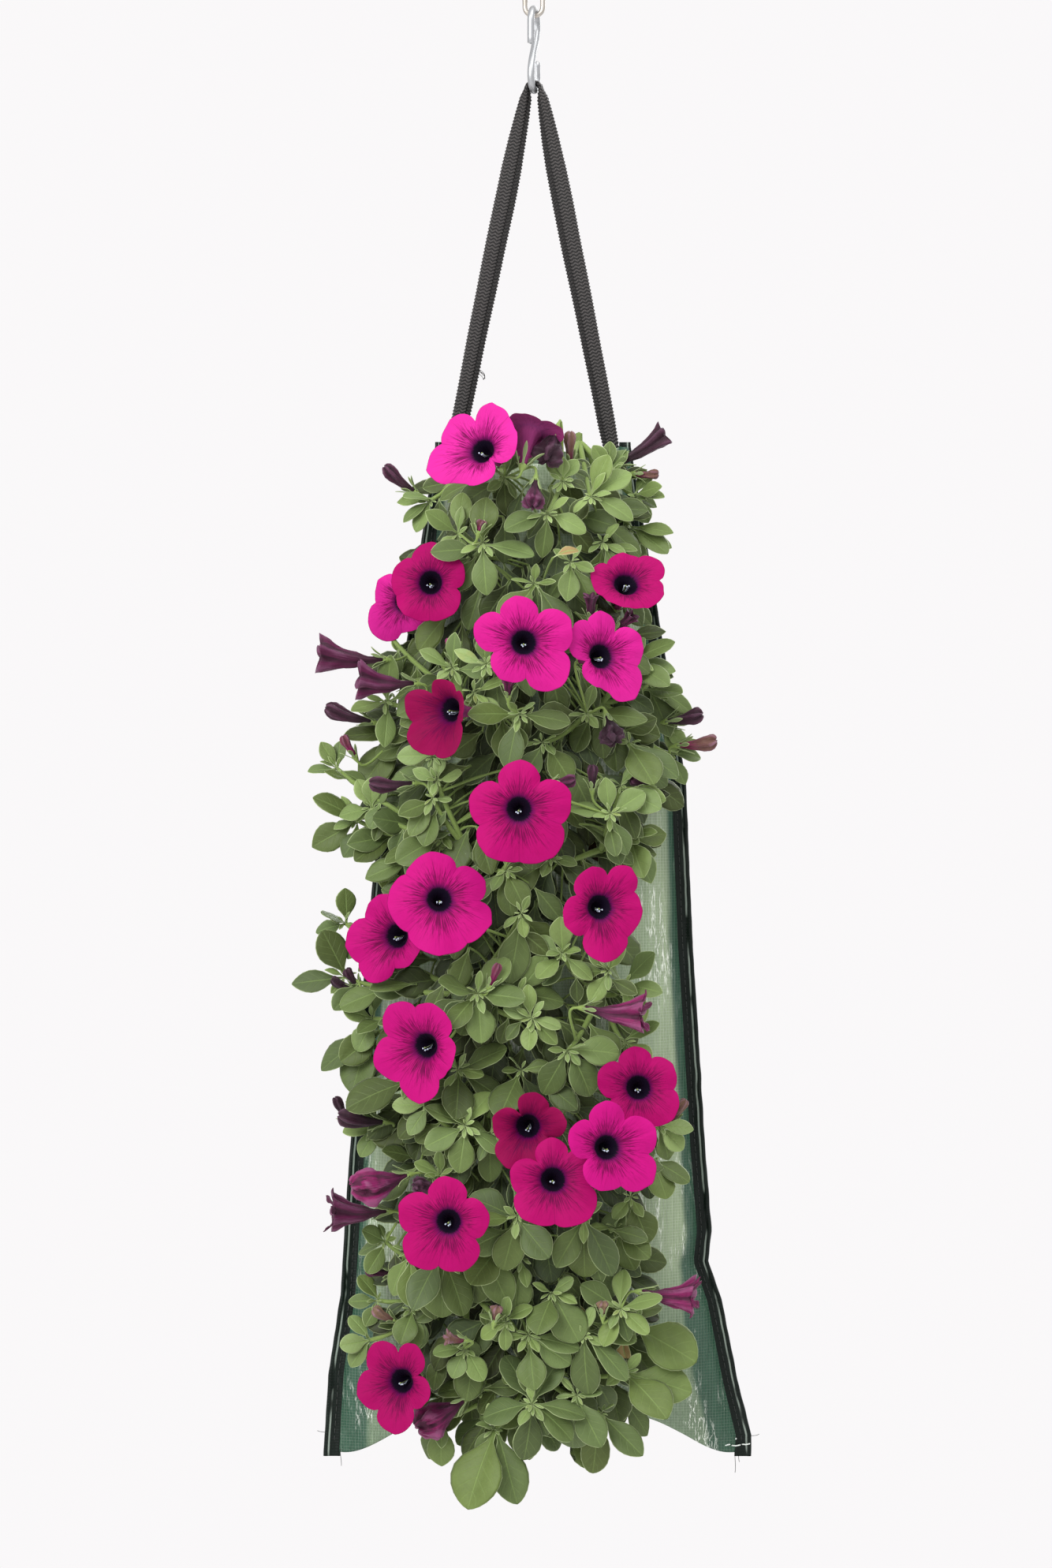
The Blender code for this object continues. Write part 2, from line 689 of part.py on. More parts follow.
def object_tree(item):
    """A search tree of an object as it stands in the scene."""
    evaluated = item.evaluated_get(bpy.context.evaluated_depsgraph_get())
    mesh = evaluated.to_mesh()
    mesh.transform(item.matrix_world)
    tree = BVHTree.FromPolygons([v.co.copy() for v in mesh.vertices],
                                [tuple(p.vertices) for p in mesh.polygons])
    evaluated.to_mesh_clear()
    return tree


def clear_of(rings, trees):
    """True where a lofted solid crosses none of the other solids."""
    tree = rings_tree(rings)
    return not any(tree.overlap(other) for other in trees)


class Plant:
    """One grown plant: its stem, shoots, leaves and flower stalks, in one solid."""

    def __init__(self, name, root, crown):
        self.name = name
        self.crown = crown
        self.heart = crown.lerp(root, 0.1)  # shoots start inside the stem
        self.core = tube_rings([root, root.lerp(crown, 0.5), crown], [STEM_RADIUS] * 3, 6)
        self.pieces = []
        self.shoots = []
        self.rng = random.Random(name)

    def near(self, point):
        """A point a little off another, so that no two pieces share an edge."""
        return point + Vector([self.rng.uniform(-JITTER, JITTER) for _ in range(3)])

    def trees(self):
        """Search trees of all that this plant holds so far."""
        return [rings_tree(rings) for rings in [self.core, *self.pieces]]

    def add_shoot(self, tip, others):
        """Grow a shoot from the crown to its leaf rosette, round what is in its way."""
        across = tip - self.crown
        for nudge in NUDGES:
            bend = Vector(nudge) * MM
            route = bezier([self.near(self.heart), self.crown + across * 0.25 + bend,
                            self.crown + across * 0.7 + bend + Vector((0, 0, -6 * MM)), tip], 3)
            rings = tube_rings(route, [SHOOT_RADIUS] * 4, STEM_SIDES)
            if clear_of(tube_rings(route, [SHOOT_RADIUS + 0.5 * MM] * 4, STEM_SIDES), others):
                self.pieces.append(rings)
                self.shoots.append(route)
                return True
        return False

    def add_stalk(self, base, forward, radius, others):
        """Grow a flower stalk from the nearest shoot to a flower's base."""
        end = base - forward * GAP
        starts = sorted((point for route in self.shoots for point in route[1:]),
                        key=lambda point: (point - end).length)
        for start in starts[:6]:
            for nudge in NUDGES:
                bend = Vector(nudge) * MM
                reach = (end - start).length
                neck = end - forward * CALYX_LENGTH
                route = bezier([self.near(start), start.lerp(neck, 0.3) + bend,
                                neck - forward * reach * 0.3, neck], 3) + [end]
                rings = tube_rings(route, [STALK_RADIUS] * 3 + [radius, radius], STEM_SIDES)
                wide = [STALK_RADIUS + 0.4 * MM] * 3 + [radius + 0.4 * MM, radius]
                if clear_of(tube_rings(route, wide, STEM_SIDES), others):
                    self.pieces.append(rings)
                    return True
        return False

    def add_leaf(self, tip, clock, reach, others):
        """Grow one leaf from a shoot's tip to a clock hour, tilted clear of its neighbours."""
        angle = math.pi / 6 * (clock + self.rng.uniform(-0.25, 0.25))
        length = reach * self.rng.uniform(0.92, 1.08)
        base = self.near(tip)
        for tilt in LEAF_TILTS:
            lean = math.radians(tilt)
            direction = Vector((math.sin(angle) * math.cos(lean), -math.sin(lean),
                                math.cos(angle) * math.cos(lean)))
            normal = Vector((0, -0.85, 0.5))
            size = (base, direction, normal, length, length * LEAF_BREADTH)
            if clear_of(leaf_rings(*size, swell=GAP), others):
                self.pieces.append(leaf_rings(*size))
                return True
        return False

    def build(self):
        """Join everything into one closed solid."""
        bm = bmesh.new()
        add_rings(bm, self.core)
        body = add_object(self.name, bm, "leaf")
        unite(body, self.pieces)
        return body


# How far a shoot or stalk may bend aside, in millimetres, the gentlest first
NUDGES = ((0, 0, 0), (0, -8, 0), (0, 8, 0), (8, 0, 0), (-8, 0, 0), (0, -16, 0), (0, 0, 10),
          (0, 0, -10), (14, -8, 0), (-14, -8, 0), (0, 14, 8), (0, 14, -8), (0, -14, 12),
          (12, -14, 12), (-12, -14, 12), (0, -24, 16), (20, -10, 6), (-20, -10, 6), (0, -8, 22))


def hole_places():
    """Names and places of the planting holes in the front panel."""
    places = {}
    for row in range(HOLE_ROWS):
        for side, x in zip(("left", "right"), HOLE_COLUMNS):
            places[f"plant_row{row + 1}_{side}"] = (x, HOLE_FIRST_DROP + HOLE_PITCH * row)
    places["plant_bottom"] = BOTTOM_HOLE
    return places


def start_plants(holes, compost):
    """Set every plant's root on the compost, in its hole or in the open top."""
    tree = object_tree(compost)
    level = max(vertex.co.z for vertex in compost.data.vertices)
    lean = TOP_CROWN_FORWARD / (-TOP_CROWN_DROP - level)
    plants = []
    for side, (x, y) in zip(("left", "right"), TOP_PLANTS):
        root = Vector((x * MM, y * MM, level + GAP + STEM_RADIUS * lean))
        crown = Vector((root.x, root.y - TOP_CROWN_FORWARD, -TOP_CROWN_DROP))
        plants.append(Plant(f"plant_top_{side}", root, crown))
    for name, (x, drop) in holes.items():
        root = Vector((x * MM, 0, -drop * MM))
        around = ((0, 0), (STEM_RADIUS, 0), (-STEM_RADIUS, 0), (0, STEM_RADIUS), (0, -STEM_RADIUS))
        root.y = min(tree.ray_cast(root + Vector((dx, -1, dz)), Vector((0, 1, 0)))[0].y
                     for dx, dz in around) - GAP
        surface = panel_y(root.x, -root.z, front=True)
        plants.append(Plant(name, root, Vector((root.x, surface - CROWN_OUT, root.z))))
    return plants


def nearest_plant(plants, point):
    """The plant that a shoot or flower belongs to: the closest, and over the rim a top one."""
    near = plants[:len(TOP_PLANTS)] if point.z > -TOP_PLANTS_DROP else plants[len(TOP_PLANTS):]
    low = point - Vector((0, 0, 10 * MM))
    return min(near, key=lambda plant: (plant.crown - low).length)


def grow(plants, corollas, solids):
    """Grow shoots, flower stalks and leaves on all plants, clear of everything else."""
    fixed = [object_tree(item) for item in solids]
    tips = []
    for x, drop, out, reach, clocks in SHOOTS:
        tip = seen_at(x, drop, out)
        plant = nearest_plant(plants, tip)
        others = fixed + [tree for other in plants if other is not plant for tree in other.trees()]
        if plant.add_shoot(tip, others):
            tips.append((plant, tip, reach * MM, clocks))
    for item, base, forward, radius in corollas:
        plant = nearest_plant(plants, base)
        others = fixed + [tree for other in plants if other is not plant for tree in other.trees()]
        if not plant.add_stalk(base, forward, radius, others):
            raise RuntimeError(f"{item.name} has no clear way for its stalk")
    others_of = {plant.name: fixed + [tree for other in plants if other is not plant
                                      for tree in other.trees()] for plant in plants}
    for plant, tip, reach, clocks in tips:
        for clock in clocks:
            if plant.add_leaf(tip, clock, reach, others_of[plant.name]):
                tree = rings_tree(plant.pieces[-1])
                for other in plants:
                    if other is not plant:
                        others_of[other.name].append(tree)


def main():
    clear_scene()
    link = make_wire("chain_link", link_points(), LINK_WIRE, closed=True)
    hook = make_wire("s_hook", hook_points(), HOOK_WIRE, closed=False)
    strap = make_strap()
    front = make_panel("bag_front_panel", front=True)
    back = make_panel("bag_back_panel", front=False)
    compost = make_compost()
    holes = hole_places()
    cut_holes(front, holes.values())

    corollas = []
    for number, row in enumerate(FLOWERS, 1):
        corollas.append((*make_flower(f"flower_{number:02d}", row), 2.2 * MM))
    for number, row in enumerate(FURLED, 1):
        corollas.append((*make_furled(f"furled_flower_{number:02d}", row), 1.7 * MM))

    bpy.context.view_layer.update()
    plants = start_plants(holes, compost)
    solids = [link, hook, strap, front, back, compost] + [item for item, *_ in corollas]
    grow(plants, corollas, solids)
    for plant in plants:
        plant.build()


main()
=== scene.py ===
"""Looks of the hanging petunia pouch: hardware, webbing strap, woven bag, compost and plants.

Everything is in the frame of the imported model: metres, +Z up, the front of the bag towards -Y, and
the origin at the hanging point. Tables are in millimetres: x to the right, drop downwards from the
hanging point, out forwards from the front of the bag. Clock hours are as seen from the front.
"""

import logging
import math
import random
from dataclasses import dataclass, field
from enum import Enum

import bpy
import numpy as np
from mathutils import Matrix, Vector, noise
from mathutils.bvhtree import BVHTree


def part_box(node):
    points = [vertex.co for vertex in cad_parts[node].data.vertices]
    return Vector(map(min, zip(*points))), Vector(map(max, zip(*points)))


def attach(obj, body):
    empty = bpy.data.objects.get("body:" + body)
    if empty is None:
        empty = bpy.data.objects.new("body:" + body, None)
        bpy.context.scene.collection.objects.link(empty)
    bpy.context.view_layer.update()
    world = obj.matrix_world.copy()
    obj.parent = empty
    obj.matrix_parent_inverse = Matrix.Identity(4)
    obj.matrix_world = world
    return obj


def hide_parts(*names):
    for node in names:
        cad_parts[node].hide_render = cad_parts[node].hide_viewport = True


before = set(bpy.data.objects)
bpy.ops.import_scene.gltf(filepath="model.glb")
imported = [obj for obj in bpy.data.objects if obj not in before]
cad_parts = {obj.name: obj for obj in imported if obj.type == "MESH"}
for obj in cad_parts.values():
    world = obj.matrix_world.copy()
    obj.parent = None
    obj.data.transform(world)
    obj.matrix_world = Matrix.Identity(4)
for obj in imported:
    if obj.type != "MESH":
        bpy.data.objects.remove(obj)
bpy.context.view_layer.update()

LOG = logging.getLogger("petunia_pouch")
Array = np.ndarray
Triple = tuple[float, float, float]
Material = bpy.types.Material
Object = bpy.types.Object
Table = tuple[tuple[float, float], ...]
MM = 0.001
GAP = 0.3 * MM

# Leaf shoots: x, drop, out, leaf reach, and the clock hours that the main leaves point to
SHOOTS = (
    (-59, 303, 30, 22, (7, 8, 8.8, 9.6)),
    (-44, 323, 46, 26, (7, 10, 12)),
    (-30, 329, 48, 29, (3, 6, 12)),
    (-17, 290, 30, 32, (1, 8, 10)),
    (8, 311, 46, 26, (3.5, 6, 8.5)),
    (17, 292, 36, 14, (11, 12, 1)),
    (33, 301, 42, 27, (12.5, 2, 3.5)),
    (58, 301, 30, 20, (1, 2, 3, 5, 11)),
    (44, 287, 24, 18, (11, 12, 1)),
    (56, 319, 30, 28, (3, 3.6, 4.2, 5.6)),
    (40, 329, 34, 24, (5, 6.2)),
    (1, 352, 30, 36, (5, 6, 7.3)),
    (22, 340, 34, 28, (5, 6, 7)),
    (-83, 383, 30, 20, (9, 10.5, 12)),
    (-63, 379, 22, 27, (11, 12, 1.5)),
    (-47, 402, 44, 22, (3, 6, 10, 12)),
    (-28, 400, 44, 20, (10, 12, 2)),
    (-35, 416, 42, 22, (2, 4)),
    (-85, 421, 40, 27, (6, 9, 12, 2)),
    (-77, 439, 26, 36, (7.5, 9)),
    (56, 398, 28, 28, (2, 3, 4)),
    (66, 411, 26, 34, (3.9, 5)),
    (-9, 428, 46, 33, (3, 6.6, 9)),
    (31, 428, 30, 34, (3, 9)),
    (74, 435, 34, 20, (1, 2, 4, 5, 8)),
    (79, 451, 34, 20, (2, 3, 5)),
    (54, 444, 28, 34, (4, 5)),
    (6, 444, 26, 28, (5, 7)),
    (-58, 452, 44, 20, (9, 11, 1)),
    (-56, 467, 46, 17, (10, 12, 2)),
    (-58, 478, 44, 24, (7, 8.5)),
    (-114, 460, 30, 18, (4, 9, 11, 12)),
    (-94, 483, 38, 20, (9, 11, 12, 1)),
    (-102, 490, 30, 32, (8.3, 10)),
    (-81, 499, 30, 33, (6.3, 8, 9)),
    (-54, 499, 28, 32, (7.5, 8.3)),
    (44, 487, 46, 24, (12, 2, 5, 9.5)),
    (50, 471, 32, 28, (3.2, 4)),
    (56, 499, 26, 28, (5, 5.6)),
    (11, 512, 24, 36, (4, 7, 8)),
    (-17, 519, 26, 28, (5, 6)),
    (-8, 545, 34, 37, (6,)),
    (-33, 591, 48, 28, (1, 3, 6, 7.5, 10, 11)),
    (-10, 591, 34, 26, (1.5, 3)),
    (-2, 605, 44, 20, (3, 4.5, 6, 10, 12)),
    (-109, 550, 26, 20, (9, 10, 12)),
    (-109, 581, 30, 31, (8.7, 11)),
    (-93, 605, 40, 21, (7, 9.5, 12)),
    (-95, 613, 30, 35, (6.5, 8)),
    (-72, 641, 34, 38, (8.3,)),
    (52, 586, 36, 25, (1, 3, 5, 11)),
    (43, 578, 40, 20, (1, 7, 9, 11)),
    (17, 568, 34, 22, (4, 8, 10, 12)),
    (20, 623, 38, 30, (3, 5, 7)),
    (52, 618, 28, 24, (2, 4)),
    (-44, 636, 32, 32, (2, 4, 6)),
    (-8, 636, 24, 36, (5, 7)),
    (-40, 668, 42, 25, (1, 4, 6, 8, 10)),
    (-61, 655, 34, 22, (7, 9, 11)),
    (-90, 668, 26, 22, (7, 9, 11)),
    (-26, 673, 30, 26, (1, 4, 6)),
    (72, 668, 28, 20, (3, 4, 5)),
    (68, 687, 24, 28, (4, 5)),
    (56, 710, 26, 28, (5, 6, 7)),
    (-54, 696, 36, 18, (10, 12, 1)),
    (-10, 721, 44, 31, (1, 4.5, 6.3, 9, 10)),
    (29, 721, 42, 34, (5, 6, 7)),
    (47, 728, 26, 28, (4, 5, 6)),
    (-86, 735, 28, 20, (7, 8.5, 10)),
    (-72, 742, 36, 30, (6, 7)),
    (-54, 742, 38, 38, (5, 6, 7)),
    (-31, 737, 34, 38, (5, 6.4)),
    (-8, 746, 30, 28, (6,)),
    (11, 765, 34, 30, (5, 7)),
    (-90, 769, 26, 18, (7, 9, 11)),
    (-70, 774, 28, 24, (6, 7)),
    (-95, 792, 28, 20, (7.5, 9, 11)),
    (-17, 781, 44, 17, (2, 6, 8, 10, 12)),
    (-3, 790, 40, 28, (3, 4.3)),
    (29, 788, 42, 34, (4.5, 6.1)),
    (50, 774, 44, 25, (2, 4, 7, 10, 12)),
    (56, 783, 28, 42, (4,)),
    (-40, 797, 40, 20, (5, 7, 9)),
    (-1, 829, 50, 32, (1, 3, 4.2, 6, 9, 11, 12)),
    (-22, 843, 36, 46, (5.6, 6.8)),
    (-54, 838, 26, 28, (6, 7)),
    (24, 824, 44, 36, (5, 6)),
    (52, 811, 40, 42, (3.5, 4.2)),
    (38, 834, 34, 38, (4.5, 6)),
    (-31, 820, 32, 26, (3, 9, 12)),
)

# Open flowers: x, drop and out of the throat, and the way each faces (yaw, pitch in degrees)
FLOWERS = (
    (-31, 274, 78, -24, 14),
    (-2, 262, 46, 165, 52),
    (-61, 351, 74, -14, 4),
    (-76, 362, 42, -24, 0),
    (54, 351, 62, 12, 30),
    (-6, 386, 82, 0, 2),
    (40, 394, 76, 26, 4),
    (-50, 425, 76, -38, 4),
    (-9, 483, 82, -3, 0),
    (-55, 535, 86, 4, 12),
    (-81, 557, 62, -26, 0),
    (39, 540, 76, 16, 2),
    (-64, 621, 76, -24, -4),
    (61, 645, 66, 4, 4),
    (-4, 668, 52, -8, -6),
    (43, 680, 90, 14, 2),
    (11, 698, 76, 0, 12),
    (-50, 723, 80, -6, 2),
    (-78, 816, 64, -22, 0),
)

# Their five lobes: where each tip is seen, in millimetres right of the throat and above it, and the
# notch after it as a share of the reach; then how ripe the colour is, from 0 for dark crimson to 1 for
# hot pink, and how far the lobes are raised forwards, in degrees
LOBES = (
    (((19.4, 10.0, 1.0), (7.4, 26.0, 0.68), (-17.4, 17.6, 0.84),
      (-30.0, -11.0, 0.96), (-7.2, -19.2, 0.5)), 1.0, 6),
    ((), 0.3, -18),
    (((19.8, 9.6, 0.8), (0.4, 22.6, 0.8), (-21.6, 4.6, 0.92),
      (-13.6, -18.4, 0.95), (13.8, -18.4, 0.73)), 0.42, -2),
    ((), 0.88, -14),
    (((20.0, 12.3, 0.88), (-2.1, 16.6, 0.8), (-20.4, 4.0, 0.93),
      (-2.2, -15.2, 0.95), (20.8, -7.2, 0.82)), 0.45, 0),
    (((26.2, 12.4, 0.65), (-4.4, 25.8, 0.75), (-26.8, 10.4, 0.66),
      (-13.2, -20.2, 0.72), (20.2, -24.2, 0.76)), 0.8, -2),
    (((22.0, 10.6, 0.64), (-0.6, 24.6, 0.85), (-15.6, 18.0, 0.5),
      (-2.8, -17.2, 0.9), (18.0, -23.6, 0.8)), 0.86, 6),
    (((10.0, -1.0, 0.7), (-7.4, 15.6, 0.62), (-24.6, 6.4, 0.85),
      (-20.6, -21.0, 0.9), (3.6, -24.4, 0.62)), 0.12, 30),
    (((28.6, 7.6, 0.66), (1.0, 27.2, 0.66), (-27.6, 5.6, 0.8),
      (-17.0, -25.4, 0.92), (19.0, -26.8, 0.8)), 0.5, -4),
    (((25.6, 10.0, 0.76), (-5.0, 25.4, 0.85), (-29.0, -2.0, 0.83),
      (0.0, -32.0, 0.93), (28.4, -14.0, 0.76)), 0.66, -6),
    (((15.7, 11.6, 0.8), (-10.0, 23.0, 0.8), (-27.8, -5.8, 0.92),
      (-15.4, -25.6, 0.75), (7.2, -16.4, 0.8)), 0.6, 8),
    (((18.0, 21.6, 0.71), (-5.0, 22.0, 0.68), (-19.0, -10.0, 0.68),
      (1.0, -30.4, 0.84), (23.6, -2.0, 0.83)), 0.45, 6),
    (((4.6, 23.6, 0.81), (-19.4, 22.0, 0.74), (-27.2, -11.0, 0.8),
      (-2.4, -31.4, 0.8), (15.2, -11.4, 0.73)), 0.62, 8),
    (((19.0, 13.0, 0.79), (-2.4, 23.0, 0.77), (-22.4, 8.0, 0.7),
      (-10.0, -21.0, 0.85), (19.6, -17.0, 0.82)), 0.44, 0),
    (((22.0, 4.0, 0.78), (5.2, 20.0, 0.38), (-19.4, 5.0, 0.77),
      (-11.4, -22.4, 0.85), (10.0, -17.4, 0.62)), 0.16, 20),
    (((27.0, 10.0, 0.65), (-1.0, 25.8, 0.74), (-21.4, 10.0, 0.53),
      (-4.0, -23.6, 0.82), (25.0, -20.0, 0.8)), 0.7, 4),
    (((22.6, 11.0, 0.7), (-1.4, 22.6, 0.56), (-24.0, 4.0, 0.83),
      (-17.4, -21.4, 0.88), (20.2, -21.2, 0.76)), 0.42, 2),
    (((22.6, 3.4, 0.68), (-1.4, 24.8, 0.69), (-27.4, 8.4, 0.79),
      (-21.0, -23.6, 0.85), (8.0, -28.2, 0.7)), 0.46, -2),
    (((8.4, 21.0, 0.66), (-15.0, 21.0, 0.76), (-24.0, -8.0, 0.75),
      (-2.4, -29.2, 0.7), (16.4, -9.0, 0.5)), 0.36, 10),
)

# The lobes of the two whose tips can't be seen: angle round the throat in degrees, reach and notch
HIDDEN_LOBES = {
    2: ((20, 22, 0.8), (92, 22, 0.75), (164, 22, 0.8), (236, 22, 0.75), (308, 22, 0.8)),
    4: ((20, 18, 0.8), (80, 18, 0.8), (145, 21, 0.78), (218, 30, 0.8), (300, 18, 0.8)),
}

# Furled and fading flowers: base x, drop, tip x, drop, out, mouth radius
FURLED = (
    (49, 282, 76, 265, 26, 5.5),
    (-70, 298, -87, 284, 30, 3.5),
    (-88, 396, -125, 393, 48, 8.5),
    (-70, 410, -102, 407, 64, 8),
    (-95, 432, -121, 424, 40, 4),
    (-71, 468, -95, 468, 54, 4),
    (78, 432, 98, 428, 42, 4),
    (85, 446, 106, 443, 40, 4),
    (30, 599, 63, 601, 56, 8.5),
    (-88, 665, -113, 660, 40, 4.5),
    (-74, 696, -105, 700, 52, 8),
    (-86, 717, -116, 715, 46, 8),
    (63, 764, 92, 764, 44, 8),
    (-41, 827, -68, 842, 40, 8),
)


class Fade(Enum):
    """How a flower that isn't open looks."""

    SLIM = "slim and closed"
    FLARED = "crumpled mouth"
    STAR = "five narrow pointed lobes"
    LIMP = "collapsed and hanging"


# The furled flowers' forms and colours, from 0 for dark purple over 0.5 for magenta to 1 for tan
FADES = (
    (Fade.FLARED, 0.12), (Fade.SLIM, 0.2), (Fade.FLARED, 0.3), (Fade.FLARED, 0.34),
    (Fade.SLIM, 0.16), (Fade.SLIM, 0.2), (Fade.SLIM, 0.12), (Fade.SLIM, 0.7),
    (Fade.STAR, 0.42), (Fade.SLIM, 0.1), (Fade.LIMP, 0.45), (Fade.STAR, 0.32),
    (Fade.STAR, 0.42), (Fade.LIMP, 0.42),
)

# Small buds and spent flowers: x, drop, out, length, width, clock hour, form, colour
BUDS = (
    (66, 288, 32, 13, 5, 3, Fade.SLIM, 0.72),
    (10, 272, 50, 22, 15, 6.6, Fade.LIMP, 0.1),
    (0, 300, 58, 17, 10, 6.2, Fade.LIMP, 0.3),
    (21, 272, 40, 17, 6, 12, Fade.SLIM, 0.75),
    (-108, 446, 40, 13, 5, 11, Fade.SLIM, 0.62),
    (45, 437, 48, 17, 12, 5.4, Fade.LIMP, 0.06),
    (34, 464, 46, 13, 5.5, 12, Fade.SLIM, 0.14),
    (17, 467, 50, 14, 6.5, 2.6, Fade.SLIM, 0.3),
    (61, 467, 42, 10, 5, 9.6, Fade.SLIM, 0.2),
    (-15, 412, 62, 9, 7, 12, Fade.FLARED, 0.4),
    (33, 365, 42, 13, 7, 12, Fade.FLARED, 0.3),
    (53, 374, 44, 13, 7, 1.6, Fade.FLARED, 0.34),
    (-48, 390, 46, 13, 5, 11.6, Fade.SLIM, 0.5),
    (-111, 585, 34, 15, 5, 9.8, Fade.SLIM, 0.04),
    (-106, 581, 36, 12, 5, 10.8, Fade.SLIM, 0.1),
    (-23, 579, 52, 13, 4.5, 12.7, Fade.SLIM, 0.6),
    (-112, 657, 38, 15, 5, 11, Fade.SLIM, 0.06),
    (-63, 702, 50, 15, 8, 9.2, Fade.LIMP, 0.16),
    (-91, 752, 34, 14, 5.5, 9.3, Fade.SLIM, 0.28),
    (-88, 777, 36, 13, 6, 10, Fade.SLIM, 0.85),
    (84, 658, 32, 15, 5, 1.2, Fade.SLIM, 0.78),
    (-22, 776, 54, 8, 6, 12.4, Fade.SLIM, 0.82),
    (-46, 791, 54, 10, 7, 9.4, Fade.FLARED, 0.74),
    (40, 773, 50, 7, 6, 12, Fade.SLIM, 0.9),
    (-31, 318, 60, 6, 5, 12.5, Fade.SLIM, 0.66),
)

# Dry leaves: x, drop, out, length, clock hour
DRY_LEAVES = ((11, 337, 54, 17, 1.8), (52, 786, 24, 22, 6.2), (25, 768, 22, 15, 5.6))

# Where the leaf cover is closed, with the bag hidden behind it: drop, left x, right x
COVER = (
    (304, -50, 54), (330, -56, 58), (361, -70, 68), (416, -92, 76), (462, -96, 76), (494, -92, 62),
    (531, -74, 40), (563, -68, 50), (609, -84, 44), (655, -90, 46), (701, -76, 64), (746, -74, 54),
    (769, -82, 58), (792, -84, 68), (820, -76, 66), (846, -48, 52),
)


# ---- small helpers ----


def ease(value: Array | float, low: float, high: float) -> Array | float:
    """Rise smoothly from 0 at low to 1 at high.

    Args:
        value: Where to read the rise.
        low: Place of the start.
        high: Place of the end.

    Returns:
        The rise, from 0 to 1, in the value's own shape.
    """
    share = np.clip((value - low) / (high - low), 0.0, 1.0)
    return share * share * (3 - 2 * share)


def read(table: Table, value: float) -> float:
    """Read a (place, size) table at a value, in the table's own units."""
    return float(np.interp(value, [row[0] for row in table], [row[1] for row in table]))


def read_round(table: Table, value: float) -> float:
    """Read a (place, size) table with its corners rounded off, by averaging round the place."""
    return sum(read(table, value + step) for step in (-0.05, -0.025, 0.0, 0.025, 0.05)) / 5


def bezier(points: list[Vector], steps: int) -> list[Vector]:
    """Sample a cubic Bezier curve.

    Args:
        points: Its four points.
        steps: Number of stretches between samples.

    Returns:
        The samples, both ends included.
    """
    a, b, c, d = points
    out = []
    for i in range(steps + 1):
        t = i / steps
        u = 1 - t
        out.append(a * u**3 + b * (3 * u * u * t) + c * (3 * u * t * t) + d * t**3)
    return out


def drift(x: float, y: float, z: float) -> float:
    """Smooth noise at a place, from about -1 to 1."""
    return noise.noise(Vector((x, y, z)))


def facing(yaw: float, pitch: float) -> Vector:
    """Unit vector that a flower looks along; yaw 0 faces the front, positive to the right."""
    yaw, pitch = math.radians(yaw), math.radians(pitch)
    return Vector((math.sin(yaw) * math.cos(pitch), -math.cos(yaw) * math.cos(pitch),
                   math.sin(pitch)))


def axes_of(forward: Vector) -> tuple[Vector, Vector]:
    """Two unit vectors square to a direction.

    Args:
        forward: The unit direction.

    Returns:
        The one to the right, and the one that is as upright as it can be.
    """
    right = Vector((0, 0, 1)).cross(-forward)
    if right.length < 1e-4:
        right = Vector((1, 0, 0))
    right.normalize()
    return right, (-forward).cross(right).normalized()


def clock(hour: float, lean: float) -> Vector:
    """Direction of a clock hour seen from the front, leant forwards by an angle in radians."""
    angle = math.pi / 6 * hour
    return Vector((math.sin(angle) * math.cos(lean), -math.sin(lean),
                   math.cos(angle) * math.cos(lean)))


# ---- meshes ----


def grid_faces(rows: int, columns: int, closed: bool = False, start: int = 0) -> Array:
    """Quads of a grid of points.

    Args:
        rows: Number of rows.
        columns: Number of points in a row.
        closed: Whether each row joins its own end.
        start: Number of the first point.

    Returns:
        One row of four point numbers for each quad, wound row after row.
    """
    across = np.arange(columns if closed else columns - 1)
    down = np.arange(rows - 1)[:, None] * columns
    here, there = across + down, (across + 1) % columns + down
    quads = np.stack([here, here + columns, there + columns, there], axis=-1)
    return quads.reshape(-1, 4) + start


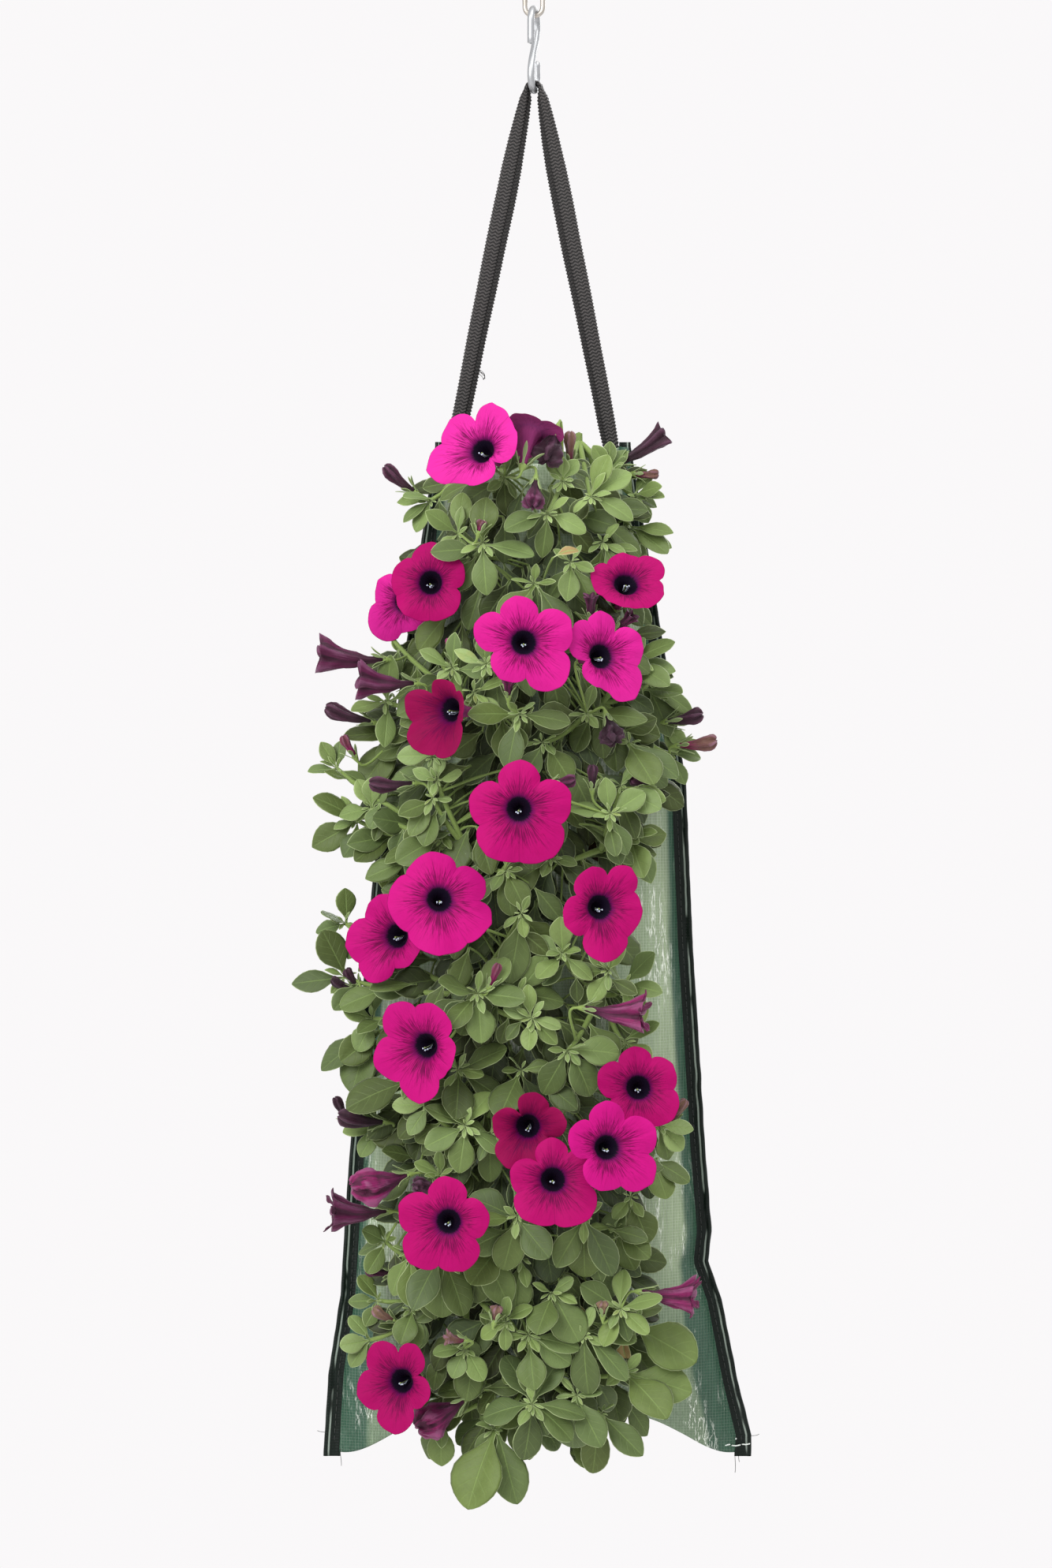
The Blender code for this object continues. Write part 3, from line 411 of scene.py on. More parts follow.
class Sketch:
    """Gathers the points, faces and surface values of one piece, and makes its mesh."""

    def __init__(self) -> None:
        """Start with nothing."""
        self.points: list[Array] = []
        self.places: list[Array] = []
        self.looks: list[Array] = []
        self.faces: list[Array] = []
        self.slots: list[Array] = []
        self.count = 0

    def add(self, points: Array, faces: list[Array], place: Array | None = None,
            look: Array | Triple = (0.0, 0.0, 0.0), slot: int = 0) -> None:
        """Add one closed shape.

        Args:
            points: Its points, one row each.
            faces: Arrays of faces, whose point numbers count from the shape's first point.
            place: The "place" value of each point, three numbers, or None for none.
            look: The "look" value of the shape or of each point, three numbers.
            slot: Number of the finish that the shape has.
        """
        size = len(points)
        self.points.append(np.asarray(points, float))
        self.places.append(np.zeros((size, 3)) if place is None else np.asarray(place, float))
        self.looks.append(np.broadcast_to(np.asarray(look, float), (size, 3)))
        for part in faces:
            self.faces.append(part + self.count)
            self.slots.append(np.full(len(part), slot))
        self.count += size

    def tube(self, path: list[Vector], radii: list[float] | float, sides: int,
             look: Triple = (0.0, 0.0, 0.0), slot: int = 0,
             closed: bool = False) -> None:
        """Add a round tube along a path, with domed ends.

        Args:
            path: Points of its centre line.
            radii: Its radius at each point, or one for all.
            sides: Number of sides.
            look: The "look" value of the shape.
            slot: Number of the finish.
            closed: Whether the path joins its own end.
        """
        line = np.array([tuple(point) for point in path])
        count = len(line)
        sizes = np.broadcast_to(np.asarray(radii, float), (count,))
        if closed:
            ahead = np.roll(line, -1, axis=0) - np.roll(line, 1, axis=0)
        else:
            ahead = np.gradient(line, axis=0)
        ahead /= np.linalg.norm(ahead, axis=1)[:, None]
        side = np.array(Vector(ahead[0]).orthogonal().normalized())
        turns = np.linspace(0, 2 * math.pi, sides, endpoint=False)
        rings = []
        for point, way, size in zip(line, ahead, sizes):
            side = side - way * side.dot(way)
            side /= np.linalg.norm(side)
            other = np.cross(way, side)
            ring = np.cos(turns)[:, None] * side + np.sin(turns)[:, None] * other
            rings.append(point + ring * size)
        lengths = np.concatenate(([0.0], np.cumsum(np.linalg.norm(np.diff(line, axis=0), axis=1))))
        place = np.stack([np.tile(np.cos(turns), count), np.tile(np.sin(turns), count),
                          np.repeat(lengths, sides)], axis=-1)
        points = np.concatenate(rings)
        if closed:
            faces = grid_faces(count, sides, closed=True)[:, ::-1]
            last = (count - 1) * sides
            here = np.arange(sides)
            there = (here + 1) % sides
            seam = np.stack([last + here, last + there, there, here], axis=-1)
            self.add(points, [faces, seam], place, look, slot)
            return
        tips = np.stack([line[0] - ahead[0] * sizes[0] * 0.5, line[-1] + ahead[-1] * sizes[-1] * 0.5])
        here = np.arange(sides)
        there = (here + 1) % sides
        first, final, last = count * sides, count * sides + 1, (count - 1) * sides
        caps = np.stack([np.full(sides, first), there, here], axis=-1)
        ends = np.stack([np.full(sides, final), last + here, last + there], axis=-1)
        self.add(np.concatenate([points, tips]),
                 [grid_faces(count, sides, closed=True)[:, ::-1], caps, ends],
                 np.concatenate([place, [[0, 0, 0], [0, 0, lengths[-1]]]]), look, slot)

    def make(self, name: str, finishes: list[Material],
             crease: float | None = None) -> Object:
        """Turn what was gathered into a scene object.

        Args:
            name: Its name.
            finishes: Its materials, in the order of the slot numbers.
            crease: Angle in degrees from which edges stay sharp, or None for all smooth.

        Returns:
            The object.
        """
        mesh = bpy.data.meshes.new(name)
        mesh.vertices.add(self.count)
        mesh.vertices.foreach_set("co", np.concatenate(self.points).ravel())
        loops = np.concatenate([part.ravel() for part in self.faces])
        sizes = np.concatenate([np.full(len(part), part.shape[1]) for part in self.faces])
        mesh.loops.add(len(loops))
        mesh.loops.foreach_set("vertex_index", loops.astype(np.int32))
        mesh.polygons.add(len(sizes))
        starts = np.concatenate(([0], np.cumsum(sizes)[:-1]))
        mesh.polygons.foreach_set("loop_start", starts.astype(np.int32))
        mesh.polygons.foreach_set("material_index", np.concatenate(self.slots).astype(np.int32))
        mesh.update(calc_edges=True)
        for title, values in (("place", self.places), ("look", self.looks)):
            layer = mesh.attributes.new(title, "FLOAT_VECTOR", "POINT")
            layer.data.foreach_set("vector", np.concatenate(values).astype(np.float32).ravel())
        mesh.validate()
        mesh.shade_smooth()
        if crease is not None:
            mesh.set_sharp_from_angle(angle=math.radians(crease))
        for finish in finishes:
            mesh.materials.append(finish)
        made = bpy.data.objects.new(name, mesh)
        bpy.context.scene.collection.objects.link(made)
        return made


def settle(piece: Object, slot: str, *nodes: str) -> Object:
    """Make a finished piece ride on the body, in place of its nodes."""
    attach(piece, "root")
    if nodes:
        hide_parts(*nodes)
    LOG.info("%s: %d faces", piece.name, len(piece.data.polygons))
    return piece


# ---- finishes ----


class Sock:
    """A shader value that Python expressions can work with."""

    def __init__(self, graph: "Graph", socket: bpy.types.NodeSocket) -> None:
        """Wrap one output of a node."""
        self.graph = graph
        self.socket = socket

    def __add__(self, other: "Sock | float") -> "Sock":
        """Sum of two values."""
        return self.graph.maths("ADD", self, other)

    def __sub__(self, other: "Sock | float") -> "Sock":
        """Difference of two values."""
        return self.graph.maths("SUBTRACT", self, other)

    def __rsub__(self, other: float) -> "Sock":
        """Difference of a number and this value."""
        return self.graph.maths("SUBTRACT", other, self)

    def __mul__(self, other: "Sock | float") -> "Sock":
        """Product of two values."""
        return self.graph.maths("MULTIPLY", self, other)

    def __abs__(self) -> "Sock":
        """Size of this value without its sign."""
        return self.graph.maths("ABSOLUTE", self)

    __radd__ = __add__
    __rmul__ = __mul__


class Graph:
    """The shader nodes of one finish."""

    def __init__(self, name: str) -> None:
        """Start a material with no nodes."""
        self.material = bpy.data.materials.new(name)
        self.material.use_nodes = True
        self.tree = self.material.node_tree
        self.tree.nodes.clear()

    def node(self, kind: str, settings: dict | None = None, values: dict | None = None,
             output: int | str = 0) -> Sock:
        """Add one node.

        Args:
            kind: Its type.
            settings: Its settings, set first; "stops" gives a ramp's (place, colour) stops.
            values: Numbers, colours or links of its input sockets, by name or number.
            output: Which of its outputs to return.

        Returns:
            The chosen output.
        """
        made = self.tree.nodes.new(kind)
        for key, setting in (settings or {}).items():
            if key == "stops":
                stops = made.color_ramp.elements
                while len(stops) < len(setting):
                    stops.new(1.0)
                for stop, (place, colour) in zip(stops, setting):
                    stop.position = place
                    stop.color = (*colour, 1.0)
            else:
                setattr(made, key, setting)
        for key, value in (values or {}).items():
            if isinstance(value, Sock):
                self.tree.links.new(value.socket, made.inputs[key])
            else:
                made.inputs[key].default_value = value
        return Sock(self, made.outputs[output])

    def maths(self, operation: str, first: Sock | float, second: Sock | float = 0.0) -> Sock:
        """Add one Math node and return its value."""
        return self.node("ShaderNodeMath", {"operation": operation}, {0: first, 1: second})

    def rise(self, value: Sock, low: float, high: float) -> Sock:
        """Rise smoothly from 0 at low to 1 at high."""
        return self.node("ShaderNodeMapRange", {"interpolation_type": "SMOOTHSTEP"},
                         {"Value": value, "From Min": low, "From Max": high})

    def ramp(self, value: Sock, stops: tuple) -> Sock:
        """Colour of a ramp at a value."""
        return self.node("ShaderNodeValToRGB", {"stops": stops}, {"Fac": value})

    def blend(self, share: Sock | float, first: Sock | tuple, second: Sock | tuple,
              way: str = "MIX") -> Sock:
        """Mix two colours.

        Args:
            share: Share of the second.
            first: The first colour.
            second: The second colour.
            way: Blend type of the Mix node.

        Returns:
            The mixed colour.
        """
        sides = [side if isinstance(side, Sock) else (*side, 1.0) for side in (first, second)]
        return self.node("ShaderNodeMix", {"data_type": "RGBA", "blend_type": way},
                         {0: share, 6: sides[0], 7: sides[1]}, 2)

    def dim(self, colour: Sock, amount: Sock) -> Sock:
        """Scale a colour's brightness by a value."""
        return self.node("ShaderNodeVectorMath", {"operation": "SCALE"}, {0: colour, "Scale": amount})

    def split(self, vector: Sock) -> tuple[Sock, Sock, Sock]:
        """The three numbers of a vector."""
        parts = self.node("ShaderNodeSeparateXYZ", values={0: vector}).socket.node
        return tuple(Sock(self, socket) for socket in parts.outputs)

    def value(self, title: str) -> tuple[Sock, Sock, Sock]:
        """The three numbers of a named surface value."""
        return self.split(self.node("ShaderNodeAttribute", {"attribute_name": title},
                                    output="Vector"))

    def spot(self) -> Sock:
        """The place on the object, in metres."""
        return self.node("ShaderNodeTexCoord", output="Object")

    def stretched(self, x: Sock | float, y: Sock | float, z: Sock | float) -> Sock:
        """A vector of three numbers."""
        return self.node("ShaderNodeCombineXYZ", values={0: x, 1: y, 2: z})

    def cloud(self, vector: Sock, scale: float, detail: float = 2.0, rough: float = 0.5) -> Sock:
        """Noise from 0 to 1 at a place, with its fineness, detail and roughness."""
        return self.node("ShaderNodeTexNoise", None,
                         {"Vector": vector, "Scale": scale, "Detail": detail, "Roughness": rough})

    def lines(self, value: Sock, low: float) -> Sock:
        """Thin lines at every whole number of a value, as wide as 1 - low of the pitch."""
        return self.rise(abs(self.maths("FRACT", value) - 0.5) * 2.0, low, 1.0)

    def relief(self, height: Sock, depth: float, strength: float = 1.0,
               under: Sock | None = None) -> Sock:
        """Surface relief.

        Args:
            height: Height from 0 to 1.
            depth: Real depth of the relief, in metres.
            strength: How strongly it shows.
            under: Relief that this one lies on.

        Returns:
            The bent normal.
        """
        values = {"Height": height, "Distance": depth, "Strength": strength}
        if under:
            values["Normal"] = under
        return self.node("ShaderNodeBump", None, values)

    def surface(self, varying: dict[str, Sock], fixed: dict[str, float | tuple]) -> Material:
        """Finish the material.

        Args:
            varying: Shader inputs that change over the surface.
            fixed: Shader inputs that are the same all over.

        Returns:
            The material.
        """
        shader = self.node("ShaderNodeBsdfPrincipled", None, {**fixed, **varying})
        out = self.tree.nodes.new("ShaderNodeOutputMaterial")
        self.tree.links.new(shader.socket, out.inputs["Surface"])
        return self.material


@dataclass(frozen=True)
class PetalFinish:
    """Open petals: velvety, with a black throat, a violet rim, fine dark veins and painted shade towards the
    throat.
    """

    throat: Triple = (0.004, 0.002, 0.008)
    rim: Triple = (0.055, 0.001, 0.050)
    vein: Triple = (0.075, 0.0005, 0.030)
    back: Triple = (0.24, 0.05, 0.17)
    ripeness: tuple = ((0.0, (0.125, 0.0008, 0.026)), (0.25, (0.20, 0.0009, 0.050)),
                       (0.5, (0.295, 0.0015, 0.090)), (0.75, (0.37, 0.004, 0.140)),
                       (1.0, (0.47, 0.016, 0.215)))

    def build(self) -> Material:
        """Make the material."""
        g = Graph("petal")
        cos, sin, reach = g.value("place")
        ripe, across, upper = g.value("look")
        spot = g.spot()
        broad = g.cloud(g.stretched(cos * 4.0, sin * 4.0, reach * 1.2), 1.0, 2.0, 0.5)
        streaks = g.cloud(g.stretched(cos * 21.0, sin * 21.0, reach * 1.9), 1.0, 2.0, 0.5)
        fine = g.cloud(g.stretched(cos * 46.0, sin * 46.0, reach * 4.5), 1.0, 2.0, 0.5)
        mottle = g.cloud(spot, 160.0, 2.0)
        colour = g.ramp(ripe + (mottle - 0.5) * 0.10 + (reach - 0.5) * 0.06, self.ripeness)
        spread = 0.2 + broad * 0.6
        veins = g.rise(streaks, 0.52, 0.58) * (1.0 - g.rise(reach - spread, -0.24, 0.20))
        branches = g.rise(fine, 0.53, 0.60) * (1.0 - g.rise(reach, 0.25, 1.0)) * 0.60
        offset = across * (3.4 + reach * 12.6)
        middle = (1.0 - g.rise(offset, 0.04, 0.26)) * (1.0 - g.rise(reach, 0.5, 0.95)) * 0.62
        fold = g.rise(across, 0.965, 1.0) * 0.3
        # painted shade: the limb darkens towards the throat, down into the cup
        shade = (1.0 - g.rise(reach, 0.05, 0.55)) * 0.35
        mask = g.maths("MINIMUM", veins * 0.70 + branches + middle + fold + shade, 0.88)
        colour = g.blend(mask, colour, self.vein)
        edge = 1.0 - g.rise(reach + (streaks - 0.5) * 0.34, 0.0, 0.20)
        colour = g.blend(edge * 0.85, colour, self.rim)
        colour = g.blend(1.0 - g.rise(reach + (streaks - 0.5) * 0.16, 0.0, 0.075), colour, self.throat)
        pale = g.blend(g.rise(fine, 0.5, 0.7) * 0.45, self.back, self.vein)
        colour = g.blend(upper, g.blend(0.35, pale, colour), colour)
        normal = g.relief(broad + streaks * 0.4, 0.5 * MM, 0.6)
        normal = g.relief(fine, 0.12 * MM, 0.5, normal)
        return g.surface({"Base Color": colour, "Normal": normal},
                         {"Roughness": 0.62, "Specular IOR Level": 0.06, "Sheen Weight": 0.02,
                          "Sheen Roughness": 0.4, "Sheen Tint": (1.0, 0.35, 0.7, 1.0)})


@dataclass(frozen=True)
class FadedFinish:
    """Furled and fading petals: papery, ridged and streaked, from dark purple to tan, with painted highlights
    on the ridges and painted shade in the folds.
    """

    # painted light: a highlight colour for the raised ridges, then a shade colour for the hollows between them
    ridge: Triple = (0.26, 0.12, 0.21)
    painted_fold_shade: Triple = (0.016, 0.003, 0.009)
    age: tuple = ((0.0, (0.014, 0.005, 0.009)), (0.2, (0.036, 0.006, 0.019)),
                  (0.36, (0.075, 0.003, 0.036)), (0.5, (0.20, 0.002, 0.078)),
                  (0.66, (0.105, 0.040, 0.036)), (0.82, (0.16, 0.095, 0.060)),
                  (1.0, (0.21, 0.15, 0.075)))

    def build(self) -> Material:
        """Make the material."""
        g = Graph("faded_petal")
        cos, sin, along = g.value("place")
        age, chance, fold = g.value("look")
        streaks = g.cloud(g.stretched(cos * 9.0 + chance * 9.0, sin * 9.0, along * 2.0), 1.0, 3.0, 0.65)
        mottle = g.cloud(g.spot(), 420.0, 3.0, 0.6)
        tone = (age + (streaks - 0.5) * 0.30 + (mottle - 0.5) * 0.12
                - (1.0 - g.rise(along, 0.0, 0.75)) * 0.16)
        colour = g.ramp(tone, self.age)
        # painted shade in the hollows between the folds, left off the older, paler flowers
        painted_hollow_shade = ((1.0 - g.rise(fold + (streaks - 0.5) * 0.5, 0.15, 0.55))
                  * (1.0 - g.rise(age, 0.5, 0.7)))
        colour = g.blend(painted_hollow_shade * 0.72, colour, self.painted_fold_shade)
        # painted highlight along the raised ridges, stronger on older flowers
        raised = g.rise(fold + (streaks - 0.5) * 0.9, 0.62, 1.0)
        colour = g.blend(raised * (0.08 + age * 0.5), colour, self.ridge)
        colour = g.blend(g.rise(mottle, 0.58, 0.72) * 0.4, colour, (0.03, 0.010, 0.015))
        normal = g.relief(streaks, 0.5 * MM, 0.8)
        normal = g.relief(mottle, 0.2 * MM, 0.6, normal)
        return g.surface({"Base Color": colour, "Normal": normal},
                         {"Roughness": 0.55, "Specular IOR Level": 0.22, "Sheen Weight": 0.10,
                          "Sheen Roughness": 0.5, "Sheen Tint": (0.9, 0.65, 0.85, 1.0)})


@dataclass(frozen=True)
class LeafFinish:
    """Leaf blades: softly hairy, with a pale midrib, faint side veins and a pale hairy rim."""

    rib: Triple = (0.20, 0.29, 0.085)
    fringe: Triple = (0.36, 0.44, 0.21)
    under: Triple = (0.17, 0.225, 0.105)
    bloom: Triple = (0.088, 0.140, 0.078)
    tones: tuple = ((0.0, (0.022, 0.026, 0.007)), (0.1, (0.046, 0.062, 0.013)),
                    (0.35, (0.083, 0.117, 0.028)), (0.6, (0.145, 0.203, 0.056)),
                    (0.82, (0.232, 0.314, 0.112)), (0.90, (0.24, 0.25, 0.055)),
                    (1.0, (0.25, 0.15, 0.055)))

    def build(self) -> Material:
        """Make the material."""
        g = Graph("leaf_blade")
        across, along, half = g.value("place")
        tone, shade, under = g.value("look")
        aside = abs(across)
        spot = g.spot()
        broad = g.cloud(spot, 110.0, 2.0)
        mottle = g.cloud(spot, 620.0, 3.0, 0.6)
        colour = g.ramp(tone + (broad - 0.5) * 0.16, self.tones)
        colour = g.dim(colour, 0.80 + shade * 0.42 + (mottle - 0.5) * 0.24)
        colour = g.blend(g.maths("FRACT", shade * 7.0) * 0.26, colour, self.bloom)
        side_veins = g.lines(along * 6.5 - aside * 1.7 + (broad - 0.5) * 0.3, 0.80)
        side_veins = side_veins * (1.0 - g.rise(aside, 0.5, 0.9))
        from_rib = aside * half
        rib = (1.0 - g.rise(from_rib, 0.16, 0.62)) * (1.0 - g.rise(along, 0.55, 1.0) * 0.6)
        stalk = 1.0 - g.rise(along, 0.05, 0.20)
        from_rim = (1.0 - aside) * half
        rim = 1.0 - g.rise(from_rim + (mottle - 0.5) * 0.3, 0.16, 0.62)
        colour = g.blend(side_veins * 0.12, colour, self.rib)
        colour = g.blend(g.maths("MAXIMUM", rib * (0.22 + tone * 0.5), stalk * 0.6), colour, self.rib)
        colour = g.blend(rim * 0.72, colour, self.fringe)
        colour = g.blend(under * 0.6, colour, self.under)
        height = (broad * 0.5 + mottle * 0.25) - rib * 0.6 - side_veins * 0.28
        normal = g.relief(height, 0.45 * MM, 0.7)
        return g.surface({"Base Color": colour, "Normal": normal},
                         {"Roughness": 0.5, "Specular IOR Level": 0.20, "Sheen Weight": 0.05,
                          "Sheen Roughness": 0.5, "Sheen Tint": (0.80, 0.92, 0.62, 1.0)})


@dataclass(frozen=True)
class StemFinish:
    """Stems, stalks and calyx cups: pale green, downy, with fine lengthwise ribs."""

    pale: Triple = (0.19, 0.27, 0.065)
    deep: Triple = (0.045, 0.072, 0.014)

    def build(self) -> Material:
        """Make the material."""
        g = Graph("stem")
        cos, sin, along = g.value("place")
        tone, _, _ = g.value("look")
        ribs = g.cloud(g.stretched(cos * 3.0, sin * 3.0, along * 60.0), 1.0, 2.0)
        down = g.cloud(g.spot(), 1400.0, 2.0, 0.7)
        colour = g.blend(tone, self.deep, self.pale)
        colour = g.dim(colour, 0.8 + ribs * 0.25 + down * 0.3)
        colour = g.blend(g.rise(down, 0.58, 0.72) * 0.35, colour, (0.32, 0.38, 0.20))
        return g.surface({"Base Color": colour, "Normal": g.relief(down, 0.25 * MM, 0.7)},
                         {"Roughness": 0.6, "Specular IOR Level": 0.25, "Sheen Weight": 0.15,
                          "Sheen Roughness": 0.5, "Sheen Tint": (0.85, 0.95, 0.75, 1.0)})


@dataclass(frozen=True)
class WovenFinish:
    """Woven polyethylene: flat green tapes under a clear film, milky where it is stretched, with painted sheen,
    painted shade and painted glints.
    """

    # deep is the tapes' dark green and also the painted shade towards the seams; milky is the stretched film's
    # pale green and also the painted sheen; crease is the white of stress-whitened creases and also of painted
    # glints
    deep: Triple = (0.014, 0.060, 0.032)
    milky: Triple = (0.235, 0.305, 0.180)
    crease: Triple = (0.80, 0.84, 0.76)
    pitch: float = 1.7 * MM

    def build(self) -> Material:
        """Make the material."""
        g = Graph("woven_green")
        t, s, front = g.value("place")
        spot = g.spot()
        x, y, z = g.split(spot)
        weft = g.lines(z * (1 / self.pitch), 0.80)
        warp = g.lines(x * (1 / self.pitch), 0.80)
        tapes = g.cloud(g.stretched(x * 900.0, y * 300.0, z * 26.0), 1.0, 2.0, 0.6)
        patches = g.cloud(g.stretched(x * 26.0, y * 26.0, z * 5.0), 1.0, 3.0, 0.6)
        wander = g.cloud(g.stretched(x * 90.0, y * 60.0, z * 22.0), 1.0, 3.0, 0.62)
        # painted sheen and shade: pale over the bulge, partly the real milky stretched film and partly painted
        # sheen, going to the dark green as painted shade towards the seams and the foot, and weaker on the back
        # panel
        seam = abs(t)
        foot = g.rise(s, 0.78, 0.88)
        painted_sheen_and_milk = ((1.0 - g.rise(seam + (patches - 0.5) * 0.10 + foot * 0.10, 0.925, 0.965))
                 * (1.0 - foot * 0.35))
        painted_sheen_and_milk = painted_sheen_and_milk * (0.66 + g.rise(patches, 0.35, 0.65) * 0.34) * (0.45 + front * 0.55)
        colour = g.blend(painted_sheen_and_milk, self.deep, self.milky)
        colour = g.dim(colour, 0.74 + tapes * 0.52)
        grid = g.maths("MAXIMUM", weft, warp)
        colour = g.blend(grid * (0.16 + painted_sheen_and_milk * 0.34), colour, (0.46, 0.52, 0.42))
        # white marks along thin ridges of noise: partly stress-whitened film, partly painted glints, brightest
        # where the painted sheen is
        ridge = abs(g.cloud(g.stretched(x * 330.0, y * 200.0, z * 38.0), 1.0, 4.0, 0.62) - 0.5)
        marks = (1.0 - g.rise(ridge, 0.004, 0.030)) * g.rise(wander, 0.49, 0.62)
        colour = g.blend(marks * (0.22 + painted_sheen_and_milk * 0.6 + foot * 0.2) * (0.3 + front * 0.7),
                         colour, self.crease)
        rough = 0.30 + wander * 0.22 + (1.0 - painted_sheen_and_milk) * 0.06
        weave = g.relief(grid + tapes * 0.5, 0.10 * MM, 0.6)
        normal = g.relief(wander + (1.0 - g.rise(ridge, 0.0, 0.10)) * 0.3, 1.1 * MM, 0.8, weave)
        return g.surface({"Base Color": colour, "Roughness": rough, "Normal": normal},
                         {"Specular IOR Level": 0.4, "Coat Weight": 0.08, "Coat Roughness": 0.16})


@dataclass(frozen=True)
class BindingFinish:
    """Folded seam tape: black-green glossy woven film, with a painted highlight line near its outer fold."""

    ground: Triple = (0.0015, 0.0050, 0.0030)
    worn: Triple = (0.012, 0.022, 0.016)
    glint: Triple = (0.30, 0.36, 0.31)

    def build(self) -> Material:
        """Make the material."""
        g = Graph("seam_tape")
        _, _, u = g.value("place")
        x, y, z = g.split(g.spot())
        tapes = g.cloud(g.stretched(x * 700.0, y * 700.0, z * 40.0), 1.0, 3.0, 0.6)
        wander = g.cloud(g.stretched(x * 120.0, y * 120.0, z * 30.0), 1.0, 3.0)
        weft = g.lines(z * 590.0, 0.80)
        colour = g.blend(g.rise(tapes, 0.52, 0.74) * 0.5 + weft * 0.12, self.ground, self.worn)
        # painted highlight: a thin broken bright line along the tape near its outer fold
        edge = 1.0 - g.rise(abs(u + (wander - 0.5) * 0.12 - 0.30), 0.02, 0.075)
        colour = g.blend(edge * g.rise(wander, 0.40, 0.55) * 0.75, colour, self.glint)
        normal = g.relief(tapes + weft * 0.4, 0.12 * MM, 0.6)
        normal = g.relief(wander, 1.2 * MM, 0.7, normal)
        return g.surface({"Base Color": colour, "Roughness": 0.20 + wander * 0.2, "Normal": normal},
                         {"Specular IOR Level": 0.18})


@dataclass(frozen=True)
class WebbingFinish:
    """Polypropylene webbing: ribbed charcoal cross weave in chevrons, with painted shade in its grooves and on
    the rear layer.
    """

    thread: Triple = (0.062, 0.056, 0.054)
    painted_groove_shade: Triple = (0.002, 0.002, 0.002)
    rib: float = 2.0

    def build(self) -> Material:
        """Make the material."""
        g = Graph("webbing")
        across, layer, along = g.value("place")
        chevron = abs(g.maths("FRACT", across * 0.28 + 50.0) - 0.5) * 1.2
        picks = abs(g.maths("FRACT", along * (1 / self.rib) + chevron) - 0.5) * 2.0
        cords = abs(g.maths("FRACT", across * 1.1 + 50.5) - 0.5) * 2.0
        fuzz = g.cloud(g.spot(), 2600.0, 2.0, 0.7)
        wear = g.cloud(g.stretched(across * 0.3, layer, along * 0.05), 1.0, 3.0)
        height = g.rise(picks, 0.20, 0.66) * (0.5 + g.rise(cords, 0.05, 0.6) * 0.5)
        # painted shade: the low parts of the weave go to near black
        colour = g.blend(height, self.painted_groove_shade, self.thread)
        # painted shade: the rear layer, seen inside the fold, is dimmed
        colour = g.dim(colour, (0.52 + fuzz * 0.6 + wear * 0.4) * (1.0 - layer * 0.55))
        return g.surface({"Base Color": colour, "Normal": g.relief(height + fuzz * 0.25, 0.7 * MM)},
                         {"Roughness": 0.62, "Specular IOR Level": 0.3, "Sheen Weight": 0.06,
                          "Sheen Roughness": 0.4})


@dataclass(frozen=True)
class MetalFinish:
    """Plated steel wire, with faint bending marks and dull spots."""

    name: str
    bright: Triple
    dull: Triple
    roughness: float

    def build(self) -> Material:
        """Make the material."""
        g = Graph(self.name)
        spot = g.spot()
        spots = g.cloud(spot, 260.0, 2.0, 0.5)
        colour = g.blend(g.rise(spots, 0.48, 0.72) * 0.6, self.bright, self.dull)
        rough = self.roughness + g.rise(spots, 0.4, 0.75) * 0.1
        return g.surface({"Base Color": colour, "Roughness": rough}, {"Metallic": 1.0})


@dataclass(frozen=True)
class CompostFinish:
    """Peat compost: dark crumbs with fibres and pale specks."""

    dark: Triple = (0.014, 0.008, 0.005)
    brown: Triple = (0.085, 0.045, 0.024)

    def build(self) -> Material:
        """Make the material."""
        g = Graph("peat")
        spot = g.spot()
        crumbs = g.cloud(spot, 340.0, 4.0, 0.65)
        grains = g.cloud(spot, 1300.0, 3.0, 0.6)
        colour = g.blend(g.rise(crumbs, 0.35, 0.68), self.dark, self.brown)
        colour = g.blend(g.rise(grains, 0.64, 0.72) * 0.6, colour, (0.22, 0.15, 0.09))
        return g.surface({"Base Color": colour, "Normal": g.relief(crumbs + grains * 0.4, 2.2 * MM)},
                         {"Roughness": 0.95, "Specular IOR Level": 0.15})


@dataclass(frozen=True)
class AntherFinish:
    """Anthers and stigma: powdery, pale blue-grey to green."""

    def build(self) -> Material:
        """Make the material."""
        g = Graph("anther")
        kind, _, _ = g.value("look")
        powder = g.cloud(g.spot(), 2200.0, 2.0, 0.7)
        colour = g.blend(kind, (0.34, 0.38, 0.46), (0.16, 0.20, 0.06))
        colour = g.dim(colour, 0.7 + powder * 0.6)
        return g.surface({"Base Color": colour, "Normal": g.relief(powder, 0.15 * MM)},
                         {"Roughness": 0.7, "Specular IOR Level": 0.3})


@dataclass(frozen=True)
class ThreadFinish:
    """Sewing thread: twisted, dark green or pale."""

    def build(self) -> Material:
        """Make the material."""
        g = Graph("thread")
        _, sin, along = g.value("place")
        pale, _, _ = g.value("look")
        twist = abs(g.maths("FRACT", along * 900.0 + sin * 0.5) - 0.5) * 2.0
        colour = g.blend(pale, (0.020, 0.024, 0.021), (0.62, 0.66, 0.62))
        colour = g.dim(colour, 0.7 + twist * 0.5)
        return g.surface({"Base Color": colour, "Normal": g.relief(twist, 0.08 * MM)},
                         {"Roughness": 0.5, "Specular IOR Level": 0.4})


